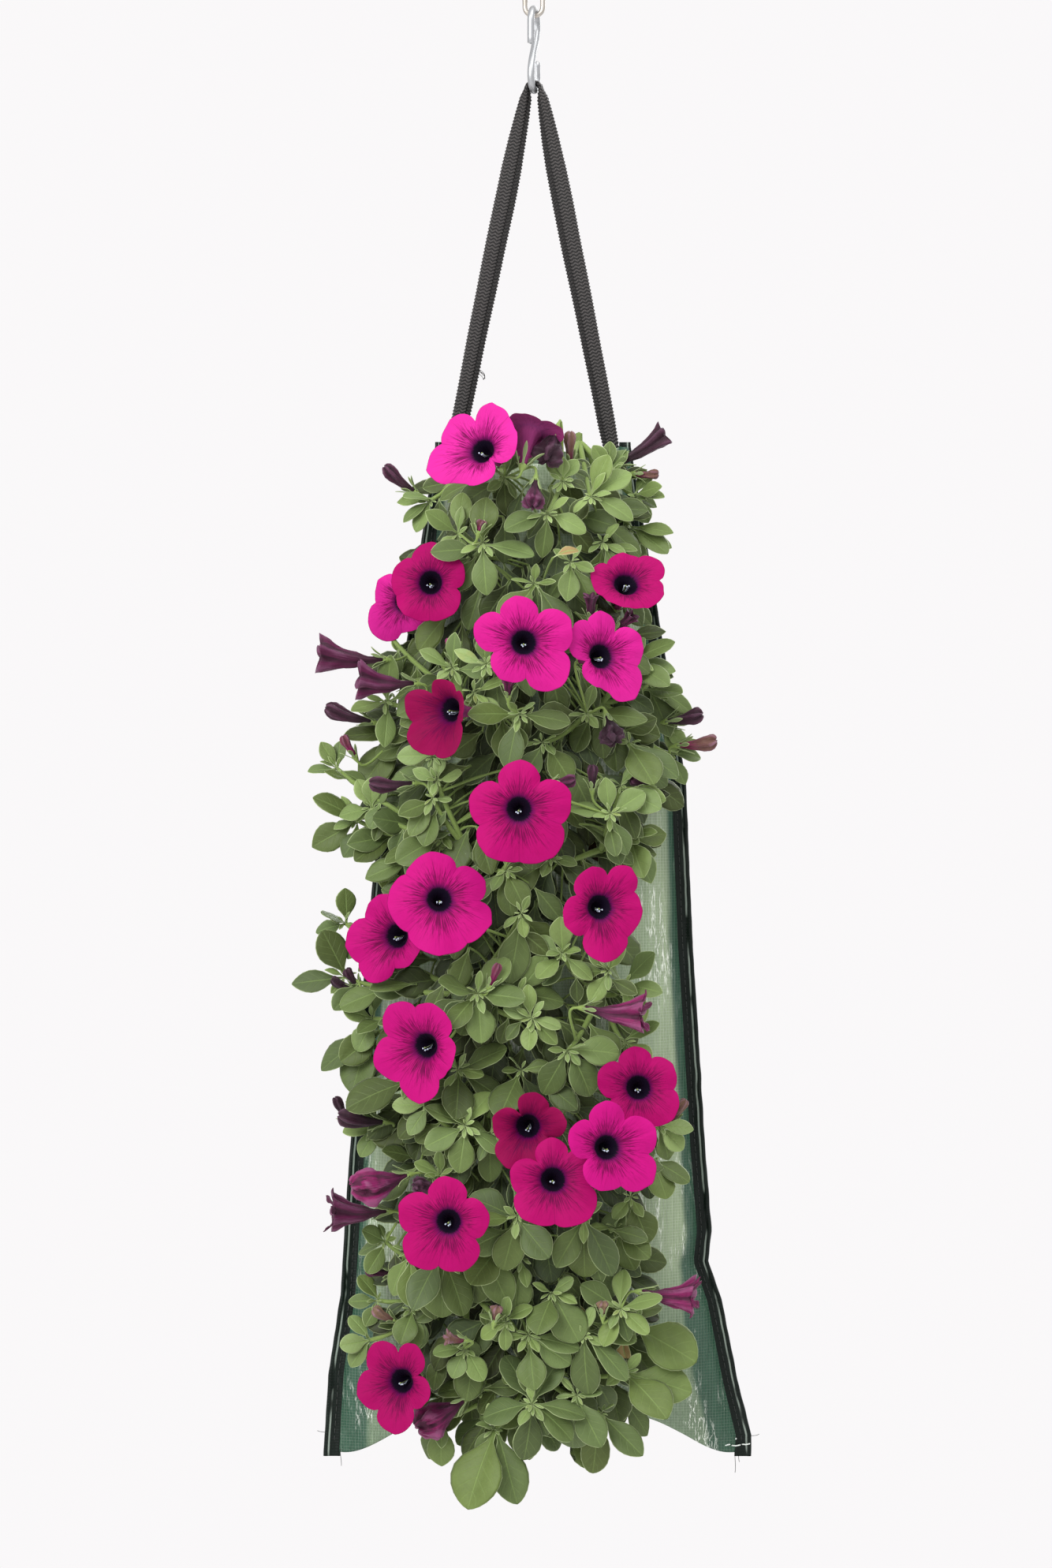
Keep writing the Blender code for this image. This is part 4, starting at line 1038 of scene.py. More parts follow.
@dataclass
class Palette:
    """Every finish, made once."""

    petal: Material = field(default_factory=PetalFinish().build)
    faded: Material = field(default_factory=FadedFinish().build)
    leaf: Material = field(default_factory=LeafFinish().build)
    stem: Material = field(default_factory=StemFinish().build)
    woven: Material = field(default_factory=WovenFinish().build)
    binding: Material = field(default_factory=BindingFinish().build)
    webbing: Material = field(default_factory=WebbingFinish().build)
    zinc: Material = field(default_factory=lambda: MetalFinish(
        "bright_zinc", (0.40, 0.41, 0.42), (0.30, 0.31, 0.32), 0.46).build())
    steel: Material = field(default_factory=lambda: MetalFinish(
        "link_steel", (0.46, 0.43, 0.39), (0.34, 0.31, 0.27), 0.42).build())
    compost: Material = field(default_factory=CompostFinish().build)
    anther: Material = field(default_factory=AntherFinish().build)
    thread: Material = field(default_factory=ThreadFinish().build)


# ---- bag form ----


@dataclass(frozen=True)
class BagForm:
    """The rules of the bag's form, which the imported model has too; sizes in millimetres."""

    rim: float = 272
    corner: float = 857
    sag_front: float = 12
    sag_back: float = 2
    lift: float = 22
    seam_gap: float = 0.16
    flange_table: Table = ((272, 5), (330, 8))
    left: Table = ((272, 57), (520, 93), (609, 101), (700, 108), (765, 112), (811, 119), (857, 122))
    right: Table = ((272, 56), (467, 88), (563, 92), (609, 95), (678, 99), (728, 103), (746, 101),
                    (769, 109), (815, 118), (847, 126), (857, 126))
    front: Table = ((0.0, 27), (0.12, 46), (0.28, 58), (0.5, 62), (0.72, 60), (0.85, 53),
                    (0.93, 40), (0.98, 22), (1.0, 0))
    back: Table = ((0.0, 21), (0.12, 37), (0.28, 48), (0.5, 51), (0.72, 50), (0.85, 44),
                   (0.93, 33), (0.98, 18), (1.0, 0))
    columns: tuple = (-1.0, -0.9, -0.72, -0.48, -0.16, 0.16, 0.48, 0.72, 0.9, 1.0)
    rows: tuple = (0.0, 0.06, 0.14, 0.25, 0.37, 0.49, 0.61, 0.72, 0.81, 0.88, 0.94, 0.98, 1.0)
    view_distance: float = 3200
    view_centre: tuple[float, float] = (-4.6, -468.5)

    def bulge(self, t: float) -> float:
        """How far a panel stands out across its width, from 0 at the seams to 1 in the middle."""
        return (1 - abs(t) ** 2.4) ** 0.8

    def flange(self, drop: float) -> float:
        """Width of the flat seam flange at a height."""
        return read(self.flange_table, drop)

    def edge(self, t: float, drop: float) -> float:
        """X of the place t across the bag, from -1 at the left seam to 1 at the right seam."""
        left = -read(self.left, drop) + self.flange(drop)
        right = read(self.right, drop) - self.flange(drop)
        return left + (right - left) * (t + 1) / 2

    def seam(self, t: float) -> float:
        """Drop of the bottom seam, across at t."""
        return self.corner - self.lift * (1 - float(ease(abs(t), 0.5, 0.97)))

    def drop_at(self, t: float, s: float, front: bool) -> float:
        """Drop of a panel's place, across at t and down at s."""
        top = self.rim + (self.sag_front if front else self.sag_back) * (1 - t * t)
        bottom = self.seam(t)
        return top + (bottom - top) * s

    def place(self, t: float, s: float, front: bool, out: float = 0.0) -> Vector:
        """A point of a panel.

        Args:
            t: How far across, from -1 to 1.
            s: How far down, from 0 to 1.
            front: Whether it is on the front panel.
            out: How far it stands outwards of the inner surface, in millimetres.

        Returns:
            The point.
        """
        drop = self.drop_at(t, s, front)
        depth = read_round(self.front if front else self.back, s) * self.bulge(t)
        y = max(depth, 0.0) + self.seam_gap + out
        return Vector((self.edge(t, drop), -y if front else y, -drop)) * MM

    def wall(self, x: float, drop: float, front: bool = True) -> float:
        """Y of a panel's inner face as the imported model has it; x, drop and the result in mm."""
        left, right = self.edge(-1, drop), self.edge(1, drop)
        t = min(max(2 * (x - left) / (right - left) - 1, -1.0), 1.0)
        s = min(max((drop - self.rim) / (self.seam(t) - self.rim), 0.0), 0.97)
        table = self.front if front else self.back
        depth = np.interp(s, self.rows, [read(table, row) for row in self.rows])
        out = np.interp(t, self.columns, [self.bulge(column) for column in self.columns])
        y = float(depth * out) + self.seam_gap
        return -y if front else y

    def seen(self, x: float, drop: float, out: float) -> Vector:
        """Turn a table place, as seen from the front, into a point of the model.

        Args:
            x: Place to the right, in millimetres.
            drop: Place down from the hanging point, in millimetres.
            out: How far in front of the bag, in millimetres.

        Returns:
            The point, in metres.
        """
        y = self.wall(x, drop) - out
        nearer = (self.view_distance + y) / self.view_distance
        across, up = self.view_centre
        return Vector((across + (x - across) * nearer, y, up + (-drop - up) * nearer)) * MM


# ---- hardware ----


@dataclass
class Hardware:
    """The chain link and the S-hook that hangs in it; sizes in millimetres."""

    palette: Palette
    link_wire: float = 3.0
    link_length: float = 20.15
    link_width: float = 13.3
    hook_wire: float = 4.1
    hook_bend: float = 8.5
    hook_height: float = 51.4
    hook_turn: float = math.radians(12)
    tip_upper: float = 12.0
    tip_lower: float = 8.7

    def link_path(self) -> list[Vector]:
        """Centre line of the link, an upright loop with straight sides."""
        radius = (self.link_width - self.link_wire) / 2
        top = self.link_wire / 2 - radius
        bottom = -self.link_length - self.link_wire / 2 + radius
        path = []
        for centre, start in ((top, 0.0), (bottom, math.pi)):
            for i in range(33):
                angle = start + math.pi * i / 32
                path.append(Vector((radius * math.cos(angle), 0,
                                    centre + radius * math.sin(angle))) * MM)
            side = -radius if start == 0.0 else radius
            ends = (top, bottom) if start == 0.0 else (bottom, top)
            for share in (0.2, 0.4, 0.5, 0.6, 0.8):
                path.append(Vector((side, 0, ends[0] + (ends[1] - ends[0]) * share)) * MM)
        return path

    def hook_path(self) -> list[Vector]:
        """Centre line of the S-hook: upper bend, slanting shank, lower bend."""
        top = -self.link_length + GAP / MM + self.hook_wire / 2
        r = self.hook_bend
        upper = top - r
        lower = top - (self.hook_height - self.hook_wire) + r
        turns = np.linspace(0, math.pi, 37)
        flat = [(-r, upper - self.tip_upper * share) for share in (1.0, 0.75, 0.5, 0.25)]
        flat += [(-r * math.cos(a), upper + r * math.sin(a)) for a in turns]
        shank = bezier([Vector((r, 0, upper)), Vector((r, 0, upper - 11)),
                        Vector((-r, 0, lower + 11)), Vector((-r, 0, lower))], 24)
        flat += [(p.x, p.z) for p in shank[1:-1]]
        flat += [(-r * math.cos(a), lower - r * math.sin(a)) for a in turns]
        flat += [(r, lower + self.tip_lower * share) for share in (0.25, 0.5, 0.75, 1.0)]
        across = Vector((math.sin(self.hook_turn), math.cos(self.hook_turn), 0))
        return [(across * p + Vector((0, 0, z))) * MM for p, z in flat]

    def build(self) -> None:
        """Make the link, with its weld bead, and the hook."""
        path = self.link_path()
        weld = Vector((-(self.link_width - self.link_wire) / 2, 0, -self.link_length / 2)) * MM
        radii = [self.link_wire / 2 * MM * (1 + 0.11 * float(ease((point - weld).length, 2.2 * MM, 0.6 * MM)))
                 for point in path]
        link = Sketch()
        link.tube(path, radii, 20, closed=True)
        settle(link.make("steel_link", [self.palette.steel]), "link_steel", "chain_link")
        hook = Sketch()
        hook.tube(self.hook_path(), self.hook_wire / 2 * MM, 22)
        settle(hook.make("zinc_s_hook", [self.palette.zinc]), "hook_zinc", "s_hook")


@dataclass
class Strap:
    """The webbing strap, folded lengthwise, over the hook and into the bag's top corners."""

    form: BagForm
    hardware: Hardware
    palette: Palette
    width: float = 12.2
    thickness: float = 3.2
    fold: float = 3.0
    bunch: float = 6.4
    end_width: float = 9.2
    end_thickness: float = 2.4
    end_drop: float = 298
    end_x: tuple[float, float] = (-46.0, 45.0)
    step: float = 0.5
    tooth: float = 0.36

    def stations(self) -> list[tuple[Vector, float, float, float]]:
        """The centre line from end to end, with its width, thickness and turn at each place."""
        wire, turn = self.hardware.hook_wire, self.hardware.hook_turn
        rise = self.hardware.hook_bend - math.sqrt(self.hardware.hook_bend**2 - (self.bunch / 2) ** 2)
        bend = (-self.hardware.link_length + GAP / MM + wire
                - self.hardware.hook_height + wire / 2 + rise)
        ride = wire / 2 + GAP / MM + self.fold / 2
        square = Vector((math.cos(turn), -math.sin(turn), 0))
        legs = []
        for sign, end_x in zip((-1, 1), self.end_x):
            back = self.form.wall(end_x + sign * self.end_width / 2, self.form.rim, front=False)
            end = Vector((end_x, back - GAP / MM - self.end_thickness / 2, -self.end_drop))
            rim = Vector((end_x, end.y, -self.form.rim))
            shoulder = square * sign * ride + Vector((0, 0, bend))
            leg = [(end, self.end_width, self.end_thickness, 0.0),
                   (rim, self.end_width, self.end_thickness, 0.0)]
            for share, full in ((0.06, 0.84), (0.3, 0.9), (0.5, 0.97), (0.68, 1.0), (0.78, 0.96),
                                (0.86, 0.84), (0.93, 0.68), (0.975, 0.52)):
                leg.append((rim.lerp(shoulder, share), self.width * full,
                            self.thickness + (self.bunch - self.thickness) * ease(share, 0.85, 1.0),
                            turn * float(ease(share, 0.85, 1.0))))
            leg.append((shoulder, self.fold, self.bunch, turn))
            legs.append(leg)
        over = []
        for angle in np.linspace(math.pi, 0, 15)[1:-1]:
            place = square * ride * math.cos(angle)
            place.z = bend + ride * math.sin(angle)
            over.append((place, self.fold, self.bunch, turn))
        return legs[0] + over + legs[1][::-1]

    def build(self) -> None:
        """Make the strap: ribbed faces, toothed edges, and the rear layer showing inside."""
        rows = self.stations()
        path = np.array([tuple(row[0]) for row in rows])
        sizes = np.array([row[1:] for row in rows])
        runs = np.concatenate(([0.0], np.cumsum(np.linalg.norm(np.diff(path, axis=0), axis=1))))
        places = np.arange(0.0, runs[-1], self.step)
        line = np.stack([np.interp(places, runs, path[:, k]) for k in range(3)], axis=-1)
        sizes = np.stack([np.interp(places, runs, sizes[:, k]) for k in range(3)], axis=-1)
        for _ in range(10):
            line[1:-1] = (line[:-2] + line[1:-1] * 2 + line[2:]) / 4
        ahead = np.gradient(line, axis=0)
        ahead /= np.linalg.norm(ahead, axis=1)[:, None]
        front = np.stack([-np.sin(sizes[:, 2]), -np.cos(sizes[:, 2]), np.zeros(len(line))], axis=-1)
        across = np.cross(ahead, front)
        across /= np.linalg.norm(across, axis=1)[:, None]
        # across and through, from -1 to 1, then 1 on the rear layer and 1 where the edge is toothed
        section = np.array([(-1.0, 0.0, 0, 1), (-0.97, 0.62, 0, 0.6), (-0.86, 0.95, 0, 0), (-0.5, 1.0, 0, 0),
                            (0.0, 0.98, 0, 0), (0.30, 0.90, 0, 0.4), (0.40, 0.60, 0.2, 1),
                            (0.40, 0.10, 1, 1), (0.55, 0.02, 1, 0), (0.85, -0.02, 1, 0),
                            (0.99, -0.14, 1, 1), (1.0, -0.55, 1, 1), (0.9, -0.92, 0.4, 0.3),
                            (0.5, -1.0, 0.2, 0), (-0.2, -1.0, 0.1, 0), (-0.86, -0.95, 0, 0),
                            (-0.97, -0.6, 0, 0.6)])
        teeth = (np.abs((places / 2.0) % 1.0 - 0.5) * 4 - 1) * self.tooth
        lean = 0.35 * np.sin(places / 23.0) + 0.2 * np.sin(places / 9.0 + 1.0)
        wide, thick = sizes[:, 0], sizes[:, 1]
        a = section[None, :, 0] * (wide / 2)[:, None]
        a = a + teeth[:, None] * section[None, :, 3] * np.sign(section[None, :, 0] + 0.01)
        a = a + lean[:, None] * 0.35
        b = section[None, :, 1] * (thick / 2)[:, None]
        points = line[:, None, :] + across[:, None, :] * a[..., None] + front[:, None, :] * b[..., None]
        count = section.shape[0]
        place = np.stack([a, np.broadcast_to(section[None, :, 2], a.shape),
                          np.broadcast_to(places[:, None], a.shape)], axis=-1)
        sketch = Sketch()
        last = (len(line) - 1) * count
        faces = grid_faces(len(line), count, closed=True)
        sketch.add(points.reshape(-1, 3) * MM,
                   [faces, np.arange(count)[None, :], (last + np.arange(count))[None, ::-1]],
                   place.reshape(-1, 3))
        inner = line + across * (wide / 2 - 0.3)[:, None]
        self.fray(sketch, inner[places < runs[-1] / 2])
        piece = sketch.make("webbing_strap", [self.palette.webbing], crease=50)
        settle(piece, "webbing", "hanging_strap")

    def fray(self, sketch: Sketch, edge: np.ndarray) -> None:
        """Add the few loose yarn ends of the left leg.

        Args:
            sketch: The strap's own sketch.
            edge: Points along the leg's inner edge, in millimetres.
        """
        rng = random.Random("fray")
        for _ in range(5):
            start = Vector(edge[np.argmin(np.abs(edge[:, 2] + rng.uniform(226, 232)))]) * MM
            tip = start + Vector((rng.uniform(2, 4), rng.uniform(-2, 1), rng.uniform(-7, -2))) * MM
            bend = Vector((rng.uniform(-1, 3), -1, 1)) * MM
            sketch.tube(bezier([start, start.lerp(tip, 0.4) + bend, tip + bend, tip], 6), 0.14 * MM, 5)


# ---- bag ----


@dataclass
class Pouch:
    """The sewn bag: two woven panels, seam tapes, stitching and thread tails."""

    form: BagForm
    palette: Palette
    columns: int = 81
    hem: float = 0.024
    film: float = 0.35
    hole_radius: float = 7.0
    tape_inset: float = 1.4
    stitch: float = 3.0
    stitch_pitch: float = 4.2
    cut: tuple[float, float] = (0.270, 0.593)
    areas: tuple[float, float] = (0.129, 0.1245)

    def holes(self) -> dict[str, tuple[float, float]]:
        """Names of the plants in the front, and x and drop of their planting holes."""
        places = {}
        for row in range(6):
            for side, x in (("left", -38), ("right", 38)):
                places[f"plant_row{row + 1}_{side}"] = (x, 340 + 83 * row)
        places["plant_bottom"] = (0, 804)
        return places

    def sway(self, s: float, right: bool) -> float:
        """How far the seam flange waves forwards or back at a height, in millimetres."""
        side = 7.3 if right else 0.0
        return 2.6 * drift(s * 5.5, side, 0.4) + 1.0 * drift(s * 17, side, 2.0)

    def crumple(self, t: float, s: float, front: bool) -> float:
        """How far folds lift a panel outwards, in millimetres."""
        side = 3.1 if front else 11.7
        edge = 1 - abs(t)
        long_folds = 1.5 * drift(t * 4.2, s * 2.4, side)
        ridges = 1.3 * (0.5 - abs(drift(t * 5.0, s * 9.0, side + 2.0)) * 2.2)
        fine = 0.55 * drift(t * 19.0, s * 46.0, side + 4.0)
        pucker = 1.5 * drift(t * 3.0, s * 70.0, side + 6.0) * math.exp(-edge / 0.09)
        low = 2.4 * (0.5 - abs(drift(t * 7.0 + s * 9.0, s * 12.0, side + 8.0)) * 2.4)
        low *= float(ease(s, 0.82, 0.93)) * (1 - float(ease(s, 0.97, 1.0)))
        calm = (float(ease(edge, 0.0, 0.06)) * (1 - float(ease(s, 0.965, 1.0)))
                * float(ease(s, -0.02, 0.05)))
        return max((long_folds + ridges + fine + low) * calm
                   + pucker * float(ease(edge, 0.0, 0.03)), -0.9)

    def panel_points(self, front: bool) -> tuple[Array, Array, int, int]:
        """Points of one panel's surface with its flanges.

        Args:
            front: Whether it is the front panel.

        Returns:
            The points, their place values, and the number of rows and columns.
        """
        rim_rows = [0.0, 0.0015, 0.004, 0.012, 0.020, self.hem - 0.001, self.hem + 0.001, 0.028]
        rows = rim_rows + list(np.linspace(0.034, 0.955, 150)) + list(np.linspace(0.962, 1.0, 12))
        across = np.sin(np.linspace(-1, 1, self.columns) * math.pi / 2 * 0.86) / math.sin(math.pi / 2 * 0.86)
        points, places = [], []
        for s in rows:
            hem_lift = 0.55 if s < self.hem and s > 0.0 else 0.0
            line = []
            for t in across:
                out = self.film + hem_lift + self.crumple(float(t), s, front)
                point = self.form.place(float(t), s, front, out)
                seam = float(ease(abs(t), 0.86, 1.0))
                point.y += self.sway(s, t > 0) * seam * MM
                line.append((point, float(t)))
            for end, sign in ((0, -1), (-1, 1)):
                base, _ = line[end]
                wide = self.form.flange(-base.z / MM) * MM
                extra = [(base + Vector((sign * wide * share, 0, 0)), sign * (1 + 0.05 * share))
                         for share in (0.35, 0.7, 1.0)]
                line = extra[::-1] + line if sign < 0 else line + extra
            for point, t in line:
                points.append(tuple(point))
                places.append((t, s, 1.0 if front else 0.0))
        return np.array(points), np.array(places), len(rows), self.columns + 6

    def open_holes(self, points: Array, faces: Array) -> Array:
        """Open the planting holes in the front panel, and leave out the faces inside them."""
        for x, drop in self.holes().values():
            flat = points[:, (0, 2)] - np.array((x * MM, -drop * MM))
            away = np.linalg.norm(flat, axis=1)
            radius = self.hole_radius * MM
            near = (away > radius * 0.72) & (away < radius * 1.25) & (points[:, 1] < 0)
            points[near, 0] = x * MM + flat[near, 0] / away[near] * radius
            points[near, 2] = -drop * MM + flat[near, 1] / away[near] * radius
            inside = away <= radius * 1.001
            faces = faces[~np.all(inside[faces] | near[faces], axis=1)]
        return faces

    def panel(self, front: bool) -> Object:
        """Make one woven panel as a thin closed shell.

        Args:
            front: Whether it is the front panel.

        Returns:
            The object.
        """
        points, places, rows, columns = self.panel_points(front)
        faces = grid_faces(rows, columns)
        if front:
            faces = self.open_holes(points, faces)
        else:
            faces = faces[:, ::-1]
        used = np.unique(faces)
        number = np.full(len(points), -1)
        number[used] = np.arange(len(used))
        sketch = Sketch()
        sketch.add(points[used], [number[faces]], places[used])
        name = "woven_front" if front else "woven_back"
        piece = sketch.make(name, [self.palette.woven])
        shell = piece.modifiers.new("film", "SOLIDIFY")
        shell.thickness = self.film * MM
        shell.offset = -1.0
        evaluated = piece.evaluated_get(bpy.context.evaluated_depsgraph_get())
        mesh = bpy.data.meshes.new_from_object(evaluated)
        piece.modifiers.clear()
        piece.data = mesh
        return piece

    def tape(self, right: bool) -> Object:
        """Make the folded tape that closes one side seam."""
        section = np.array([(0.0, 0.0), (0.03, 0.62), (0.10, 1.0), (0.19, 0.98), (0.28, 0.66), (0.42, 0.58),
                            (0.62, 0.56), (0.80, 0.56), (0.90, 0.74), (0.97, 0.60), (1.0, 0.0)])
        section = np.concatenate([section, (section * (1, -1))[-2:0:-1]])
        sign = 1 if right else -1
        table = self.form.right if right else self.form.left
        rings, places = [], []
        for s in np.linspace(-0.004, 1.004, 240):
            drop = self.form.rim + (self.form.corner - self.form.rim) * s
            outer = read(table, drop) + 0.5 + 0.35 * drift(s * 60, sign * 3.0, 0)
            wide = self.form.flange(drop) + self.tape_inset + 0.5 + 0.5 * drift(s * 22, sign, 5)
            thick = 1.55 + 0.35 * drift(s * 34, sign * 2.0, 9)
            sway = self.sway(min(max(s, 0.0), 1.0), right)
            roll = 0.6 * drift(s * 14, sign * 4.0, 3)
            for u, v in section:
                x = sign * (outer - wide * u)
                y = sway + v * thick + roll * (0.5 - u)
                rings.append((x * MM, y * MM, -drop * MM))
                places.append((sign, s, u))
        count = len(section)
        total = len(rings) // count
        faces = grid_faces(total, count, closed=True)
        if right:
            faces = faces[:, ::-1]
        ends = [np.arange(count)[None, :], ((total - 1) * count + np.arange(count))[None, ::-1]]
        if right:
            ends = [end[:, ::-1] for end in ends]
        sketch = Sketch()
        sketch.add(np.array(rings), [faces, *ends], np.array(places))
        name = "seam_tape_right" if right else "seam_tape_left"
        return sketch.make(name, [self.palette.binding], crease=60)

    def stitching(self) -> Object:
        """Make the rows of stitches on both tapes, the bar tacks and the thread tails."""
        sketch = Sketch()
        for right in (False, True):
            sign = 1 if right else -1
            table = self.form.right if right else self.form.left
            for i in range(int((self.form.corner - self.form.rim - 6) / self.stitch_pitch)):
                ends = []
                for drop in (self.form.rim + 4 + i * self.stitch_pitch,
                             self.form.rim + 4 + i * self.stitch_pitch + self.stitch):
                    s = (drop - self.form.rim) / (self.form.corner - self.form.rim)
                    ends.append((sign * (read(table, drop) - self.form.flange(drop) * 0.68), drop,
                                 self.sway(s, right)))
                for side in (-1, 1):
                    path = [Vector((x, y + side * 1.0, -drop)) * MM for x, drop, y in ends]
                    middle = path[0].lerp(path[1], 0.5) + Vector((0, side * 0.22 * MM, 0))
                    sketch.tube([path[0], middle, path[1]], 0.26 * MM, 6)
        for x0, x1, drop in ((108.5, 114.0, 852.6), (115.0, 120.0, 852.9), (121.0, 125.5, 852.2),
                             (117.2, 117.6, 849.0)):
            y = -2.3 + self.sway(0.99, True)
            sketch.tube([Vector((x0, y, -drop)) * MM, Vector(((x0 + x1) / 2, y - 0.3, -drop - 0.2)) * MM,
                         Vector((x1, y, -drop + 0.3)) * MM], 0.42 * MM, 6, look=(1.0, 0, 0))
        tails = (((117, -1, 855), (116.5, -2, 860), (117.6, -1, 864), (117.0, 0, 869)),
                 ((118.5, 1, 855), (119.5, 1, 858), (118.8, 2, 861), (119.6, 2, 863)),
                 ((125, 0, 848), (127, -1, 847), (129, 0, 848), (131, 0, 846.6)),
                 ((-112.5, -1, 855), (-112.9, -2, 858), (-111.8, -1, 861), (-112.0, 0, 865)),
                 ((-120, 0, 846), (-122, -1, 845), (-124, 0, 845.6), (-126, 0, 844.6)))
        for tail in tails:
            points = [Vector((x, y, -drop)) * MM for x, y, drop in tail]
            sketch.tube(bezier(points, 10), 0.16 * MM, 6)
        return sketch.make("seam_stitching", [self.palette.thread])

    def build(self) -> None:
        """Make every part of the bag."""
        front, back = self.panel(front=True), self.panel(front=False)
        tapes = [self.tape(right=False), self.tape(right=True)]
        stitching = self.stitching()
        settle(front, "woven_poly", "bag_front_panel")
        settle(back, "woven_poly", "bag_back_panel")
        for tape in tapes:
            settle(tape, "woven_poly")
        settle(stitching, "webbing")


@dataclass
class Compost:
    """The planting mix inside the bag, with a crumbly top."""

    form: BagForm
    palette: Palette
    inset: float = 2.4
    sides: int = 120

    def build(self) -> None:
        """Make the compost from its top surface down to the bottom seam."""
        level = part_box("compost")[1].z / MM
        top = (-level - self.form.rim - self.form.sag_front) / (self.form.corner - self.form.rim) + 0.012
        half = self.sides // 2
        across = np.sin(np.linspace(-1, 1, half) * math.pi / 2) * 0.93
        rings = []
        for s in np.concatenate((np.linspace(top, 0.9, 34), np.linspace(0.92, 0.965, 4))):
            ring = []
            for front, ts in ((True, across), (False, across[::-1])):
                for t in ts:
                    point = self.form.place(float(t), float(s), front, -self.inset)
                    lump = noise.noise(point * 160) * 0.9 * MM
                    point.y += -lump if front else lump
                    ring.append(point)
            rings.append(ring)
        centre = sum(rings[0], Vector()) / len(rings[0])
        for point in rings[0]:
            point.z = level * MM
        cap = []
        for share in (0.04, 0.12, 0.2, 0.3, 0.4, 0.5, 0.6, 0.7, 0.8, 0.88, 0.95):
            ring = []
            for point in rings[0]:
                spot = centre.lerp(point, share)
                crumb = noise.noise(spot * 90) * 2.2 + noise.noise(spot * 420) * 1.2
                spot.z = (level + crumb * (1 - share**4)) * MM
                ring.append(spot)
            cap.append(ring)
        rings = cap + rings
        points = np.array([tuple(point) for ring in rings for point in ring])
        count = self.sides
        final = (len(rings) - 1) * count
        sketch = Sketch()
        sketch.add(points, [grid_faces(len(rings), count, closed=True), np.arange(count)[None, :],
                            (final + np.arange(count))[None, ::-1]])
        settle(sketch.make("compost_fill", [self.palette.compost], crease=70), "compost", "compost")


# ---- flowers ----


def tree_of(sketch: Sketch) -> BVHTree:
    """Search tree of all that a sketch holds."""
    points = np.concatenate(sketch.points).tolist()
    faces = [face for part in sketch.faces for face in part.tolist()]
    return BVHTree.FromPolygons(points, faces)


class Blade:
    """A thin closed blade, for leaves, sepals and pointed petals."""

    def __init__(self, columns: tuple[float, ...], rows: tuple[float, ...]) -> None:
        """Lay out the blade's points.

        Args:
            columns: Places across, from -1 to 1.
            rows: Places along, from 0 up to but not including the tip at 1.
        """
        wide, high = len(columns), len(rows)
        inner = wide - 2
        top = np.arange(wide * high).reshape(high, wide)
        low = top.copy()
        low[:, 1:-1] = wide * high + np.arange(inner * high).reshape(high, inner)
        tip = wide * high + inner * high
        across, along = np.meshgrid(columns, rows)
        self.across = np.concatenate([across.ravel(), across[:, 1:-1].ravel(), [0.0]])
        self.along = np.concatenate([along.ravel(), along[:, 1:-1].ravel(), [1.0]])
        self.low = np.concatenate([np.zeros(wide * high), np.ones(inner * high), [0.0]])
        quads, tris = [], []
        for sheet, flip in ((top, False), (low, True)):
            quad = np.stack([sheet[:-1, :-1], sheet[1:, :-1], sheet[1:, 1:], sheet[:-1, 1:]], -1).reshape(-1, 4)
            end = np.stack([sheet[-1, :-1], np.full(wide - 1, tip), sheet[-1, 1:]], -1)
            quads.append(quad[:, ::-1] if flip else quad)
            tris.append(end[:, ::-1] if flip else end)
        quads.append(np.stack([top[0, 1:-2], top[0, 2:-1], low[0, 2:-1], low[0, 1:-2]], -1))
        tris.append(np.array([[top[0, 0], top[0, 1], low[0, 1]], [top[0, -2], top[0, -1], low[0, -2]]]))
        self.faces = [np.concatenate(quads), np.concatenate(tris)]
        self.flat = [face for part in self.faces for face in part.tolist()]

    def shape(self, base: Vector, way: Vector, normal: Vector, length: float, width: float,
              bend: float = 0.3, fold: float = 0.2, wave: float = 0.0, phase: float = 0.0,
              blunt: float = 0.8, stalk: float = 0.09, thick: float = 0.3 * MM) -> tuple[Array, Array]:
        """Shape one blade.

        Args:
            base: Where it starts.
            way: Unit direction that it starts in.
            normal: Direction that its upper side faces.
            length: Its length.
            width: Its greatest width.
            bend: Angle that it bends back through, in radians.
            fold: How steeply its halves rise from the midrib.
            wave: Height of the waves along its edges, as a share of its half width.
            phase: Where the waves start.
            blunt: Bluntness of its ends, smaller for blunter.
            stalk: Width of its stalk, as a share of its width.
            thick: Its thickness.

        Returns:
            Its points, and their place values: across, along, and half width in millimetres.
        """
        d = np.array(way.normalized())
        n = np.array(normal)
        side = np.cross(n, d)
        side /= np.linalg.norm(side)
        n = np.cross(d, side)
        t, a = self.along, self.across
        body = np.clip(np.sin(math.pi * t**1.44), 0, None) ** blunt * (0.14 + 0.86 * ease(t, 0.0, 0.5))
        half = np.maximum(body, stalk * (1 - ease(t, 0.25, 0.4))) * width / 2
        bend = bend if abs(bend) > 1e-3 else 1e-3
        turn = bend * t
        run = length * np.sin(turn) / bend
        fall = -length * (1 - np.cos(turn)) / bend
        local = n * np.cos(turn)[:, None] + d * np.sin(turn)[:, None]
        lift = half * (fold * np.abs(a) - (fold * 0.5 + 0.10) * a**2
                       + wave * a**2 * np.sin(9.0 * t + phase + np.sign(a) * 1.3))
        lift = lift - self.low * thick
        points = (np.array(base) + d * run[:, None] + n * fall[:, None]
                  + side * (a * half)[:, None] + local * lift[:, None])
        return points, np.stack([a, t, half / MM], axis=-1)


